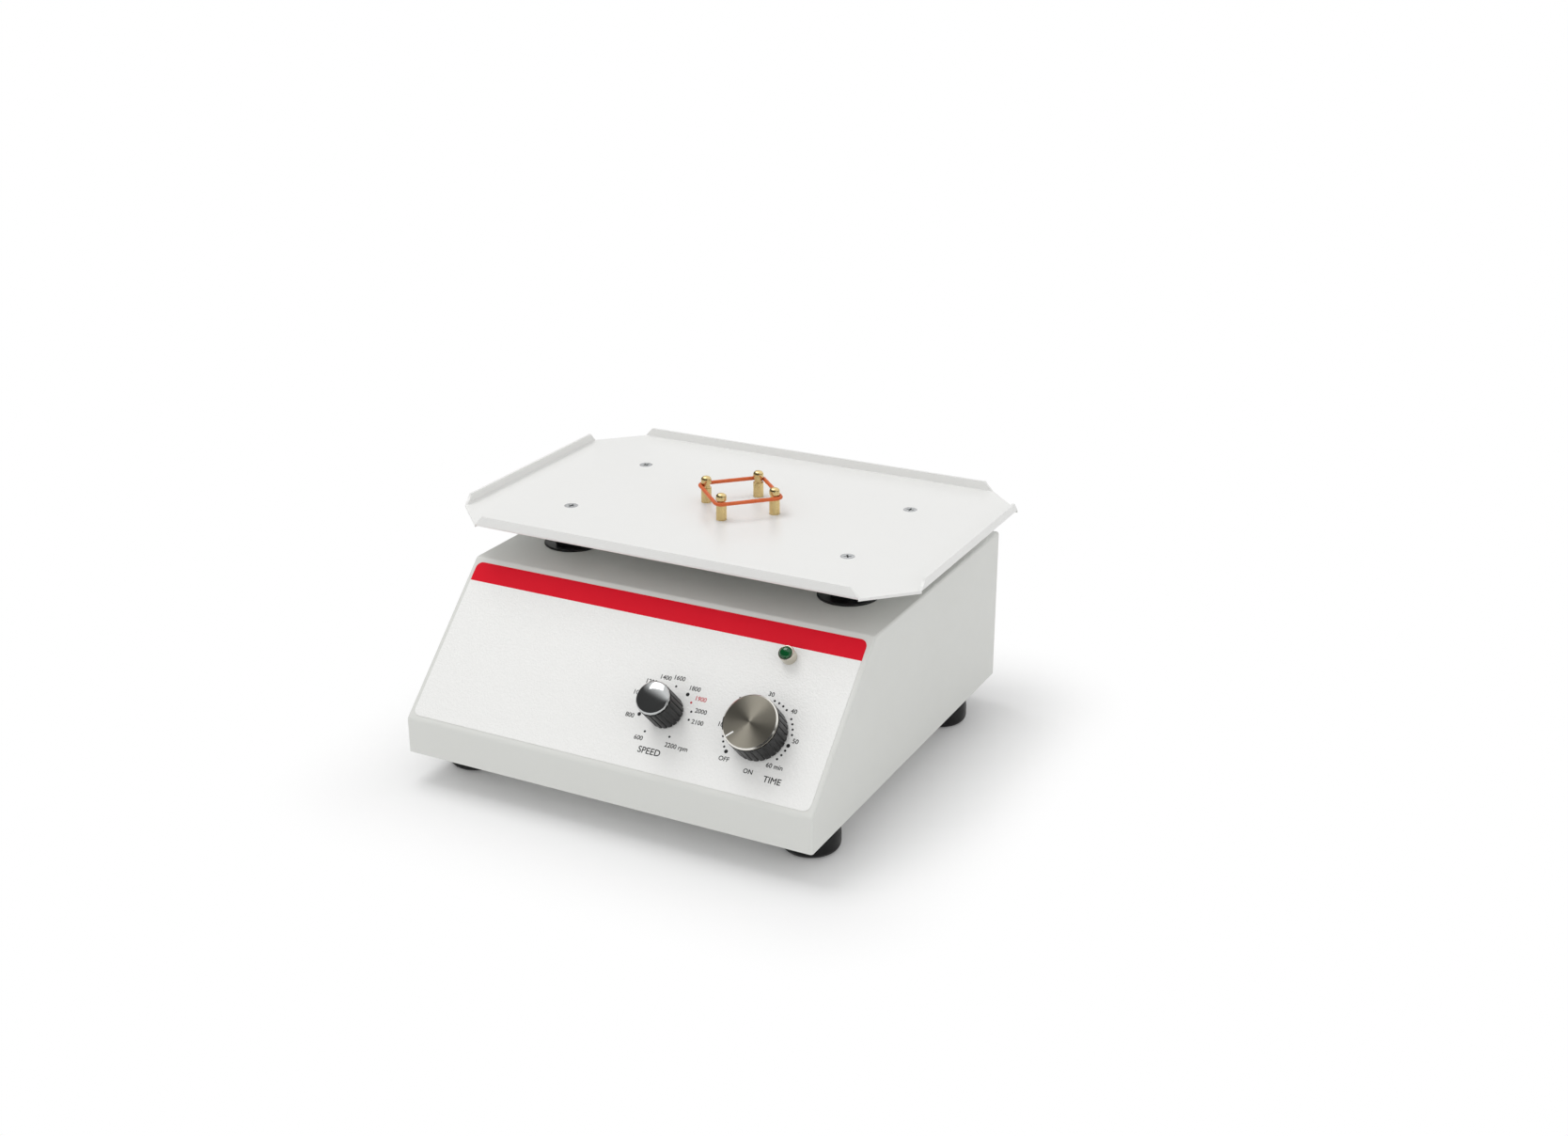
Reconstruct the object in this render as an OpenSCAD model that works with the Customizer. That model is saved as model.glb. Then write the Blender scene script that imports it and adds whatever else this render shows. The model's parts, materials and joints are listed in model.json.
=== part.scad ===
// Orbital shaker for microplates: a sheet-metal casing with a sloped control panel,
// a motor with an eccentric crank under a flat tray, and four guide legs.
// Frame: X across the front, Y from front to back, Z up, floor at Z = 0.
// The origin is the centre of the whole footprint. Lengths in millimetres.

/* [Casing] */
// Width of the casing
body_w = 250; // [240:1:275]
// Depth of the casing
body_d = 245; // [240:1:265]
// Height of the casing, without its feet
body_h = 91.3; // [88:0.1:105]
// Height of the upright band under the panel
front_h = 20.3; // [17:0.1:26]
// Depth that the sloped panel takes up
slope_d = 72.2; // [68:0.1:80]
// Thickness of the casing sheet
sheet_t = 1.5; // [1.2:0.1:2]
// Outside radius of the folds beside the panel
bend_r = 3; // [2.2:0.1:5]
// Outside radius of the edges of the side cheeks
edge_r = 1.4; // [0.8:0.1:2]
// Width of the inward flanges that take the screws
flange_w = 10; // [9:0.5:13]
// Gap round a sheet part that slides into the casing
slip_gap = 0.3; // [0.2:0.05:0.5]

/* [Feet] */
// Standing height of the rubber feet
foot_h = 18; // [14:0.5:24]
// Largest diameter of a foot
foot_dia = 32; // [26:0.5:36]
// Distance of a foot's centre from the casing's side
foot_side = 19; // [18.5:0.5:24]
// Distance of a foot's centre from the casing's front or back
foot_end = 37; // [30:0.5:40]

/* [Tray] */
// Width of the tray over its lips
tray_w = 286; // [280:1:300]
// Depth of the tray over its lips
tray_d = 186; // [182:1:200]
// Thickness of the tray sheet
tray_t = 1.5; // [1.2:0.1:2]
// Height of the lips above the tray floor
lip_h = 5.5; // [4.5:0.1:9]
// Inside radius of the lip bends
lip_bend = 1; // [0.6:0.1:1.6]
// Length that each lip end slopes away over
lip_taper = 5; // [3:0.5:8]
// Length cut off each corner of the tray
tray_corner = 24.5; // [18:0.5:30]
// Height of the tray's underside above the casing
tray_lift = 21.2; // [20.5:0.1:28]

/* [Plate holder] */
// Distance of each post from the tray's centre
post_pitch = 22.2; // [20.5:0.1:26]
// Height of a post above the tray floor
post_h = 15.6; // [14:0.1:20]
// Diameter of a post
post_dia = 6; // [5.6:0.1:6.6]
// Height of the groove's middle above the tray floor
groove_z = 9.5; // [8:0.1:10]
// Height of the groove
groove_h = 2.6; // [2.4:0.1:3]
// Diameter of a post inside its groove
groove_dia = 4.8; // [4.6:0.1:5]
// Thickness of the elastic cord
band_dia = 2; // [1.6:0.1:2.2]

/* [Legs] */
// Distance across the casing from a foot's centre in to a leg
leg_in = 18; // [17.5:0.5:22]
// Distance of the front legs from the upper fold of the panel
leg_front = 44.55; // [42:0.05:50]
// Distance of the rear legs from the casing's back
leg_rear = 45.25; // [43:0.05:50]
// Diameter of a leg
leg_dia = 8; // [7.5:0.1:9]
// Diameter of the gland flange on the casing
gland_dia = 34; // [30:0.5:38]
// Thickness of the gland flange
gland_t = 1.2; // [1:0.1:2]
// Width across the flats of the gland's hexagon
gland_hex = 20; // [19:0.5:24]
// Height of the gland's hexagon above its flange
gland_hex_h = 5; // [3:0.5:7]
// Bore of the gland
gland_bore = 13; // [12.5:0.1:14]
// Diameter of a rubber buffer
buffer_dia = 26; // [20:0.5:28]
// Height of a rubber buffer
buffer_h = 24; // [18:0.5:28]

/* [Drive] */
// Radius of the tray's circular path
orbit_r = 1.25; // [0.8:0.05:1.5]
// Diameter of the motor
motor_dia = 56; // [50:1:60]
// Length of the motor
motor_len = 46; // [36:1:50]
// Diameter of the motor shaft
shaft_dia = 8; // [7:0.5:9]
// Diameter of the crank hub
hub_dia = 22; // [20:0.5:24]
// Radius of the counterweight
weight_r = 30; // [26:0.5:34]
// Thickness of the counterweight
weight_t = 8; // [5:0.5:9]
// Bore of the ball bearing
bearing_bore = 10; // [9.5:0.5:10.5]
// Outside diameter of the ball bearing
bearing_dia = 30; // [29:0.5:31]
// Width of the ball bearing
bearing_w = 9; // [8.5:0.5:9.5]
// Height of the motor bridge above the base
bridge_h = 61; // [58:0.5:63]
// Width of the motor bridge
bridge_w = 78; // [74:1:92]
// Depth of the motor bridge
bridge_d = 66; // [62:1:72]
// Thickness of the motor bridge
bridge_t = 2; // [1.5:0.1:2.5]

/* [Controls] */
// Distance of the speed dial from the right side of the casing
speed_side = 98.3; // [94:0.1:104]
// Distance of the timer dial from the right side of the casing
timer_side = 42.8; // [41:0.1:49]
// Distance of both dials up the panel
dial_v = 36.9; // [36:0.1:44]
// Diameter of the speed knob
speed_dia = 19.2; // [17:0.1:24]
// Height of the speed knob above the panel
speed_h = 22.4; // [18:0.1:24]
// Diameter of the timer knob
timer_dia = 30.6; // [26:0.1:34]
// Height of the timer knob above the panel
timer_h = 17.1; // [15.5:0.1:20]
// Gap between a knob and the panel
knob_gap = 0.9; // [0.6:0.1:1.4]
// Number of grips round the speed knob
speed_grips = 20; // [12:2:28]
// Number of grips round the timer knob
timer_grips = 28; // [24:2:48]
// Diameter of the control shafts
spindle_dia = 6; // [5.5:0.1:6.5]
// Distance of the lamp from the right side of the casing
lamp_side = 42; // [35:0.1:47]
// Distance of the lamp up the panel
lamp_v = 80.5; // [76:0.1:81]
// Diameter of the lamp bezel
lamp_dia = 8.6; // [8:0.1:10]
// Height of the lamp bezel above the panel
lamp_h = 6.8; // [5:0.1:9]

/* [Overlay] */
// Thickness of the panel film
film_t = 0.3; // [0.2:0.05:0.5]
// Distance of the film from the panel's sides
film_side = 3; // [2.5:0.1:6]
// Distance of the film from the panel's lower and upper folds
film_end = 3; // [2.8:0.1:5]
// Radius of the film's corners
film_corner = 4; // [2:0.5:6]
// Height of the coloured stripe along the film's upper edge
stripe_w = 11.7; // [9:0.1:12.4]

/* [Power inlet] */
// Distance of the inlet's centre from the casing's side
inlet_side = 45; // [42:1:52]
// Height of the inlet's centre above the casing's underside
inlet_z = 40; // [34:1:50]

/* [Hidden] */
$fn = 48;

// Small working clearances
thread_gap = 0.05;
run_gap = 0.05;
rest_gap = 0.3;
eps = 0.01;

// Lie of the panel
panel_tilt = atan2(body_h - front_h, slope_d);
panel_len = norm([slope_d, body_h - front_h]);
film_len = panel_len - 2 * film_end;
film_half = body_w / 2 - film_side;
stripe_v = panel_len - film_end - stripe_w;

// Legs stand inside the feet and the drive in the middle between them; the tray rests one crank throw in front
leg_half = body_w / 2 - foot_side - leg_in;
leg_rows = [slope_d + leg_front, body_d - leg_rear];
drive_y = (leg_rows[0] + leg_rows[1]) / 2;
tray_back = drive_y - orbit_r;

// Place of the casing in the whole footprint
all_depth = max(body_d, tray_back + tray_d / 2);
front_y = -all_depth / 2;
inner_half = body_w / 2 - sheet_t;
top_under = body_h - sheet_t;

// Heights above the casing's underside
tray_under = body_h + tray_lift;
tray_floor = tray_under + tray_t;

gland_places = [for (sx = [-1, 1], y = leg_rows) [sx * leg_half, y]];
leg_places = [for (g = gland_places) [g[0], g[1] - orbit_r]];
post_places = [for (a = [0:90:270]) [post_pitch * cos(a), tray_back + post_pitch * sin(a)]];
foot_places = [for (sx = [-1, 1], y = [foot_end, body_d - foot_end]) [sx * (body_w / 2 - foot_side), y]];

// Feet
foot_recess_dia = 11;
foot_recess = foot_h * 0.45;
foot_round = 4;

// Cooling slots
vent_w = 3;
vent_l = 36;
vent_pitch = 8;

// Gland
gland_thread = gland_bore + 3;
gland_sleeve = 8;
gland_nut_t = 4;

// Legs and buffers
leg_collar_dia = 14;
leg_collar_h = 4;
leg_foot = sheet_t + buffer_h + rest_gap;
buffer_screw_in = 7;

// Bearing and its housing, from the tray downwards
housing_flange_t = 3;
housing_flange_dia = 2 * post_pitch + 14;
housing_wall = 4;
housing_lip = 1.2;
circlip_t = 1;
housing_dia = bearing_dia + 2 * housing_wall;
flange_low = tray_under - housing_flange_t;
bearing_top = flange_low - 0.5;
bearing_low = bearing_top - bearing_w;
housing_low = bearing_low - circlip_t - housing_lip;
relief_dia = bearing_dia - 10;
ring_wall = 2.6;
ball_dia = (bearing_dia - bearing_bore) / 2 - 2 * ring_wall + 1.6;
ball_ring = (bearing_bore + bearing_dia) / 4;
ball_count = 8;

// Elastic cord
band_sides = 10;
band_steps = 5;
band_rings = 4 * (band_steps + 1);
band_reach = groove_dia / 2 + band_dia / 2 + thread_gap;

// Crank
crank_shoulder_dia = bearing_bore + 4;
crank_shoulder_low = body_h + 2.5;
crank_top = tray_under - 1.6;
clip_t = 1;
hub_low = bridge_h + 8;
hub_bore_depth = 16;
weight_low = hub_low + 2;
weight_collar = 4;
grub_z = weight_low + weight_t + 3;
top_hole_dia = hub_dia + 16;

// Motor
motor_top = bridge_h - bridge_t;
motor_low = motor_top - motor_len;
can_wall = 2;
stator_wall = 7;
rotor_gap = 0.5;
rotor_dia = motor_dia - 2 * can_wall - 2 * stator_wall - 2 * rotor_gap;
boss_dia = 18;
motor_bolt_pitch = 38;

// Speed control and timer behind the panel
pot_dia = 17;
pot_len = 10;
pot_tags = [12, 8, 1.2];
timer_box = 40;
timer_cut = 4.2;
timer_len = 25;
bush_dia = 9;
bush_front = 5;
nut_af = 12;
nut_t = 2;
speed_x = body_w / 2 - speed_side;
timer_x = body_w / 2 - timer_side;
lamp_x = body_w / 2 - lamp_side;
spindle_end = 3.5;
disc_t = 1.2;
cap_h = 4;
cap_seat = 0.6;
speed_groove = 1.7;
speed_groove_out = 0.35;
timer_groove = 1.6;
timer_groove_out = 0.3;
disc_bevel = 0.6;

// Lamp
lens_dia = lamp_dia - 1.6;
lens_sink = 2.4;
lens_rise = lens_dia * 0.31;
lamp_nut_t = 2.4;
holder_len = 16;
lamp_neck = 7;

// Inlet, to the sizes of a standard three-pin appliance inlet with a fuse drawer
inlet_x = body_w / 2 - inlet_side;
inlet_body = [27.6, 32, 24];
inlet_flange = [50, 40, 2.4];
inlet_cavity = [24, 16];
inlet_cavity_depth = 19;
inlet_cavity_z = -4.5;
inlet_hole_span = 40;
inlet_ear_dia = 10;
pin_len = 15;
pin_size = [2, 4];
pin_tag = 8;
pin_span = 14;
pin_rise = 5;
pin_places = [for (s = [-1, 0, 1])
    [s * pin_span / 2, inlet_cavity_z + (s == 0 ? pin_rise - pin_size[1] / 2 : -pin_size[1] / 2)]];
fuse_size = [24, 7];
fuse_z = 10.5;
fuse_face = [25.2, 7.8, 1];
fuse_grip = [8, 2.4];

// Control board and transformer on the base
board = [84, 44, 1.6];
board_lift = 8;
board_edge = 5;
board_gap = 7;
motor_gap = 26.25;
core = [44, 36, 37];
core_ear = 9;
core_gap = 2.5;
buffer_gap = 13.75;
core_yoke = 7;
core_strap = 1.6;
coil_out = 8;
core_at = [flange_w + core_gap + core_ear + core[0] / 2 - inner_half,
    leg_rows[0] - buffer_dia / 2 - buffer_gap - core[1] / 2];
core_window = [core[0] / 2 - 2 * core_yoke, core[2] - 2 * core_yoke];
core_window_x = core[0] / 4 + 0.5;
board_at = [core_at[0] + core[0] / 2 + core_ear + board_gap + board[0] / 2,
    drive_y - motor_dia / 2 - motor_gap - board[1] / 2];
board_holes = [for (sx = [-1, 1], sy = [-1, 1])
    [sx * (board[0] / 2 - board_edge), sy * (board[1] / 2 - board_edge)]];
core_screw_places = [for (s = [-1, 1]) core_at + [s * (core[0] / 2 + core_ear / 2), 0]];

// Parts on the board: places from the board's centre, and sizes
capacitor_dia = 12;
capacitor_h = 20;
capacitor_places = [[-26, 10], [-12, 10]];
relay = [19, 15, 15];
relay_at = [-32, -16];
sink = [24, 3, 25];
sink_at = [2, -4];
fin = [1.6, 12, 25];
fin_pitch = 5.4;
power_chip = [10, 4.6, 15];
power_chip_at = [8, -8.6, 3];
terminals = [36, 9, 10];
terminals_at = [-4, -20];

// Fasteners
m3 = 3;
m4 = 4;
base_screw_places = [for (sx = [-1, 1], y = [body_d * 0.28, body_d - 14])
    [sx * (inner_half - flange_w / 2), y]];
front_screw_places = [for (sx = [-1, 1]) [sx * body_w * 0.24, sheet_t + flange_w / 2]];
rear_screw_places = [for (sx = [-1, 1], z = [14, top_under - 12]) [sx * (inner_half - flange_w / 2), z]];
bridge_foot = 12;
bridge_screw_end = 9;
bridge_screw_places = [for (sx = [-1, 1], sy = [-1, 1])
    [sx * (bridge_w / 2 + bridge_foot / 2), drive_y + sy * (bridge_d / 2 - bridge_screw_end)]];
motor_screw_places = [for (a = [0:90:270])
    [motor_bolt_pitch / 2 * cos(a), drive_y + motor_bolt_pitch / 2 * sin(a)]];

function arc_points(c, r, from, to, steps) =
    [for (i = [0:steps]) let (a = from + (to - from) * i / steps) c + r * [cos(a), sin(a)]];

// Side outline of the casing, drawn in by d at the front, the slope and the top
function casing_outline(d, low = 0, back = body_d) = let (
    s1 = d * (1 - sin(panel_tilt)) / cos(panel_tilt),
    low_bend = [d, front_h - d * cos(panel_tilt) + s1 * sin(panel_tilt)],
    s2 = (body_h - front_h - d + d * cos(panel_tilt)) / sin(panel_tilt),
    high_bend = [d * sin(panel_tilt) + s2 * cos(panel_tilt), body_h - d],
    r = max(bend_r - d, 0.4),
    half_low = (90 - panel_tilt) / 2,
    half_high = panel_tilt / 2,
    c1 = low_bend + [r, -r * tan(half_low)],
    c2 = high_bend + [r * tan(half_high), -r])
    concat([[d, low]],
        arc_points(c1, r, 180, 90 + panel_tilt, 5),
        arc_points(c2, r, 90 + panel_tilt, 90, 5),
        [[back, body_h - d], [back, low]]);

module in_casing() {
    translate([0, front_y, foot_h]) children();
}

module on_panel(u, v) {
    in_casing() translate([0, 0, front_h]) rotate([panel_tilt, 0, 0]) translate([u, v, 0]) children();
}

module on_back(x, z) {
    in_casing() translate([x, body_d, z]) rotate([90, 0, 180]) children();
}

module at_places(places, z = 0) {
    in_casing() for (p = places) translate([p[0], p[1], z]) children();
}

// A slab of the side outline, standing across the casing
module casing_slab(width, d, low = 0, back = body_d) {
    rotate([90, 0, 90]) translate([0, 0, -width / 2]) linear_extrude(width) polygon(casing_outline(d, low, back));
}

module tube(outer, inner, h) {
    difference() {
        cylinder(d = outer, h = h);
        translate([0, 0, -1]) cylinder(d = inner, h = h + 2);
    }
}

module hexagon(af, h) {
    cylinder(d = af / cos(30), h = h, $fn = 6);
}

module hex_nut(af, bore, h) {
    difference() {
        hexagon(af, h);
        translate([0, 0, -1]) cylinder(d = bore, h = h + 2);
    }
}

// Pan head screw, head above Z = 0 and shank below it
module pan_screw(d, length) {
    difference() {
        union() {
            cylinder(d = d * 1.9, h = d * 0.6);
            translate([0, 0, -length]) cylinder(d = d, h = length + eps);
        }
        cross_recess(d, d * 0.6);
    }
}

// Countersunk screw, head flush with Z = 0
module flush_screw(d, length) {
    difference() {
        union() {
            translate([0, 0, -d / 2]) cylinder(d1 = d, d2 = d * 2, h = d / 2);
            translate([0, 0, -length]) cylinder(d = d, h = length - d / 2 + eps);
        }
        cross_recess(d, 0);
    }
}

module cross_recess(d, top) {
    for (a = [0, 90]) rotate(a) translate([-d * 0.5, -d * 0.09, top - d * 0.3]) cube([d, d * 0.18, d * 0.3 + 1]);
}

module flush_hole(d, depth) {
    bore = d + 2 * thread_gap;
    translate([0, 0, -d / 2 - thread_gap]) cylinder(d1 = bore, d2 = bore + d, h = d / 2);
    translate([0, 0, -thread_gap - eps]) cylinder(d = bore + d, h = 1 + thread_gap);
    translate([0, 0, -depth]) cylinder(d = bore, h = depth);
}

module screw_holes(places, z, d, length) {
    for (p = places) translate([p[0], p[1], z]) cylinder(d = d + 2 * thread_gap, h = length);
}

// Folded and welded cover: front band, sloped panel, top, side cheeks and inward flanges
module casing_shell() {
    color("whitesmoke") in_casing() difference() {
        union() {
            difference() {
                hull() for (i = [0:3])
                    casing_slab(body_w - 2 * edge_r * (1 - sin(30 * i)), edge_r * (1 - cos(30 * i)));
                casing_slab(2 * inner_half, sheet_t, -1, body_d + 1);
            }
            shell_flanges();
        }
        for (p = gland_places) translate([p[0], p[1], top_under - 1])
            cylinder(d = gland_thread + 2 * thread_gap, h = sheet_t + 2);
        translate([0, drive_y, top_under - 1]) cylinder(d = top_hole_dia, h = sheet_t + 2);
        screw_holes(base_screw_places, sheet_t - 1, m3, sheet_t + 2);
        screw_holes(front_screw_places, sheet_t - 1, m3, sheet_t + 2);
        for (p = rear_screw_places) translate([p[0], body_d - 2 * sheet_t - 1, p[1]])
            rotate([-90, 0, 0]) cylinder(d = m3 + 2 * thread_gap, h = sheet_t + 2);
        translate([0, 0, front_h]) rotate([panel_tilt, 0, 0]) panel_holes(-sheet_t - 1, sheet_t + 2);
    }
}

module shell_flanges() {
    for (x = [-inner_half, inner_half - flange_w]) {
        translate([x, sheet_t, sheet_t + slip_gap]) cube([flange_w, body_d - 3 * sheet_t, sheet_t]);
        translate([x, body_d - 2 * sheet_t - slip_gap, sheet_t + slip_gap])
            cube([flange_w, sheet_t, top_under - sheet_t - slip_gap]);
    }
    translate([-inner_half, sheet_t, sheet_t + slip_gap]) cube([2 * inner_half, flange_w, sheet_t]);
}

module panel_holes(z, h) {
    for (x = [speed_x, timer_x]) translate([x, dial_v, z]) cylinder(d = bush_dia + 2 * thread_gap, h = h);
    translate([lamp_x, lamp_v, z]) cylinder(d = lamp_neck + 2 * thread_gap, h = h);
}

// Base plate with the back wall folded up from it
module base_chassis() {
    plate_half = inner_half - slip_gap;
    color("gainsboro") in_casing() difference() {
        union() {
            translate([-plate_half, sheet_t + slip_gap, 0])
                cube([2 * plate_half, body_d - sheet_t - slip_gap, sheet_t]);
            translate([-plate_half, body_d - sheet_t, 0]) cube([2 * plate_half, sheet_t, top_under - slip_gap]);
        }
        screw_holes(base_screw_places, -1, m3, sheet_t + 2);
        screw_holes(front_screw_places, -1, m3, sheet_t + 2);
        screw_holes(foot_places, -1, m4, sheet_t + 2);
        screw_holes(gland_places, -1, m4, sheet_t + 2);
        screw_holes(bridge_screw_places, -1, m4, sheet_t + 2);
        screw_holes([for (h = board_holes) board_at + h], -1, m3, sheet_t + 2);
        screw_holes(core_screw_places, -1, m4, sheet_t + 2);
        for (p = rear_screw_places) translate([p[0], body_d - sheet_t - 1, p[1]])
            rotate([-90, 0, 0]) cylinder(d = m3 + 2 * thread_gap, h = sheet_t + 2);
        translate([inlet_x, body_d - sheet_t / 2, inlet_z])
            cube([inlet_body[0] + 2 * slip_gap, sheet_t + 2, inlet_body[1] + 2 * slip_gap], center = true);
        for (s = [-1, 1]) translate([inlet_x + s * inlet_hole_span / 2, body_d - sheet_t - 1, inlet_z])
            rotate([-90, 0, 0]) cylinder(d = m3 + 2 * thread_gap, h = sheet_t + 2);
        vent_slots();
    }
}

// Cooling slots in the base under the motor
module vent_slots() {
    for (i = [-4:4]) translate([i * vent_pitch, drive_y, sheet_t / 2])
        cube([vent_w, vent_l, sheet_t + 2], center = true);
}

module film_outline() {
    r = film_corner;
    low = film_end;
    high = film_end + film_len;
    polygon(concat(
        arc_points([film_half - r, low + r], r, -90, 0, 6),
        arc_points([film_half - r, high - r], r, 0, 90, 6),
        arc_points([-film_half + r, high - r], r, 90, 180, 6),
        arc_points([-film_half + r, low + r], r, 180, 270, 6)));
}

module panel_overlay() {
    color("white") on_panel(0, 0) difference() {
        linear_extrude(film_t) intersection() {
            film_outline();
            translate([-body_w / 2, 0]) square([body_w, stripe_v]);
        }
        panel_holes(-1, film_t + 2);
    }
}

module overlay_stripe() {
    color("crimson") on_panel(0, 0) linear_extrude(film_t) intersection() {
        film_outline();
        translate([-body_w / 2, stripe_v]) square([body_w, panel_len]);
    }
}

module base_screws() {
    color("silver") in_casing() for (p = concat(base_screw_places, front_screw_places))
        translate([p[0], p[1], 0]) mirror([0, 0, 1]) pan_screw(m3, 3 * sheet_t);
}

module rear_screws() {
    color("silver") for (p = rear_screw_places) on_back(p[0], p[1]) pan_screw(m3, 3 * sheet_t);
}

// Bulged rubber feet with a recess for the fixing screw
module rubber_feet() {
    color("dimgray") at_places(foot_places, -foot_h) rotate_extrude() difference() {
        polygon(foot_outline());
        translate([-1, -1]) square([foot_recess_dia / 2 + 1, foot_recess + 1]);
        translate([-1, -1]) square([m4 / 2 + thread_gap + 1, foot_h + 2]);
    }
}

function foot_outline() = let (r = foot_dia / 2, top_r = r - 3, low_r = r - foot_round) concat(
    [[0, 0]],
    arc_points([low_r, foot_round], foot_round, -90, -10, 5),
    [[r, foot_h * 0.42], [r - 0.3, foot_h * 0.62], [r - 1.2, foot_h * 0.82], [top_r, foot_h], [0, foot_h]]);

module foot_screws() {
    color("silver") at_places(foot_places, foot_recess - foot_h) mirror([0, 0, 1])
        pan_screw(m4, foot_h - foot_recess + sheet_t + 4);
}

// Appliance inlet in the back wall, with an open socket and a fuse compartment
module power_inlet() {
    color("black") on_back(inlet_x, inlet_z) difference() {
        union() {
            translate([-inlet_body[0] / 2, -inlet_body[1] / 2, -inlet_body[2]]) cube(inlet_body + [0, 0, 1]);
            linear_extrude(inlet_flange[2]) inlet_flange_outline();
        }
        translate([0, 0, inlet_flange[2] - inlet_cavity_depth]) linear_extrude(inlet_cavity_depth + 1) {
            translate([-inlet_cavity[0] / 2, inlet_cavity_z - inlet_cavity[1] / 2]) cavity_outline();
            translate([0, fuse_z]) square(fuse_size, center = true);
        }
        for (s = [-1, 1]) translate([s * inlet_hole_span / 2, 0, inlet_flange[2]])
            flush_hole(m3, inlet_flange[2] + 1);
        for (p = pin_places) translate([p[0], p[1], -inlet_body[2] / 2])
            cube([pin_size[0], pin_size[1], inlet_body[2] + 2], center = true);
    }
}

module inlet_flange_outline() {
    hull() {
        square([inlet_body[0] + 2, inlet_flange[1]], center = true);
        for (s = [-1, 1]) translate([s * inlet_hole_span / 2, 0]) circle(d = inlet_ear_dia, $fn = 32);
    }
}

module cavity_outline() {
    w = inlet_cavity[0];
    h = inlet_cavity[1];
    c = h / 4;
    polygon([[0, 0], [w, 0], [w, h - c], [w - c, h], [c, h], [0, h - c]]);
}

module inlet_pins() {
    w = pin_size[0] - 2 * thread_gap;
    h = pin_size[1] - 2 * thread_gap;
    color("silver") on_back(inlet_x, inlet_z) for (p = pin_places)
        translate([p[0] - w / 2, p[1] - h / 2, -inlet_body[2] - pin_tag])
            cube([w, h, pin_tag + inlet_body[2] - inlet_cavity_depth + pin_len]);
}

module fuse_drawer() {
    color("dimgray") on_back(inlet_x, inlet_z) difference() {
        union() {
            translate([0, fuse_z, inlet_flange[2] - (inlet_cavity_depth - thread_gap) / 2])
                cube([fuse_size[0] - 2 * thread_gap, fuse_size[1] - 2 * thread_gap,
                    inlet_cavity_depth - thread_gap + eps], center = true);
            translate([0, fuse_z, inlet_flange[2] + fuse_face[2] / 2]) cube(fuse_face, center = true);
        }
        translate([-fuse_grip[0] / 2, fuse_z - fuse_size[1] / 2 - 1, inlet_flange[2] + 0.4])
            cube([fuse_grip[0], fuse_grip[1], 2]);
    }
}

module inlet_screws() {
    color("silver") for (s = [-1, 1]) on_back(inlet_x + s * inlet_hole_span / 2, inlet_z)
        translate([0, 0, inlet_flange[2]]) flush_screw(m3, 3 * m3);
}

// Motor: outer can with its mounting boss
module motor_can() {
    color("darkgray") at_places([[0, drive_y]], motor_low) difference() {
        union() {
            cylinder(d = motor_dia, h = motor_len);
            translate([0, 0, motor_len]) cylinder(d = boss_dia, h = bridge_t);
        }
        translate([0, 0, can_wall]) cylinder(d = motor_dia - 2 * can_wall, h = motor_len - 2 * can_wall);
        translate([0, 0, can_wall + eps]) cylinder(d = shaft_dia + 2 * run_gap, h = motor_len + bridge_t + 1);
        for (a = [0:90:270]) rotate(a) translate([motor_bolt_pitch / 2, 0, motor_len - can_wall - 1])
            cylinder(d = m3 + 2 * thread_gap, h = can_wall + 2);
    }
}

module motor_stator() {
    color("sienna") at_places([[0, drive_y]], motor_low + can_wall + 6)
        tube(motor_dia - 2 * can_wall, motor_dia - 2 * can_wall - 2 * stator_wall, motor_len - 2 * can_wall - 12);
}

module motor_rotor() {
    color("gray") at_places([[0, drive_y]], motor_low + can_wall + 6)
        tube(rotor_dia, shaft_dia + 2 * thread_gap, motor_len - 2 * can_wall - 12);
}

module motor_shaft() {
    color("silver") at_places([[0, drive_y]], motor_low + can_wall + rest_gap)
        cylinder(d = shaft_dia, h = hub_low + hub_bore_depth - motor_low - can_wall - rest_gap - 1);
}

// Folded steel bridge that carries the motor over the base
module motor_bridge() {
    color("lightgray") in_casing() difference() {
        translate([0, drive_y + bridge_d / 2, sheet_t]) rotate([90, 0, 0])
            linear_extrude(bridge_d) bridge_outline();
        translate([0, drive_y, motor_top - 1]) cylinder(d = boss_dia + 2 * thread_gap, h = bridge_t + 2);
        screw_holes(motor_screw_places, motor_top - 1, m3, bridge_t + 2);
        screw_holes(bridge_screw_places, sheet_t - 1, m4, bridge_t + 2);
    }
}

module bridge_outline() {
    w = bridge_w / 2;
    h = bridge_h - sheet_t;
    t = bridge_t;
    foot = w + bridge_foot;
    polygon([[-foot, 0], [t - w, 0], [t - w, h - t], [w - t, h - t], [w - t, 0], [foot, 0], [foot, t],
        [w, t], [w, h - t], [w - t, h], [t - w, h], [-w, h - t], [-w, t], [-foot, t]]);
}

module motor_screws() {
    color("silver") at_places(motor_screw_places, bridge_h) pan_screw(m3, bridge_t + can_wall);
}

module bridge_screws() {
    color("silver") at_places(bridge_screw_places, 0) mirror([0, 0, 1]) pan_screw(m4, 2 * (sheet_t + bridge_t));
}

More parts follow.
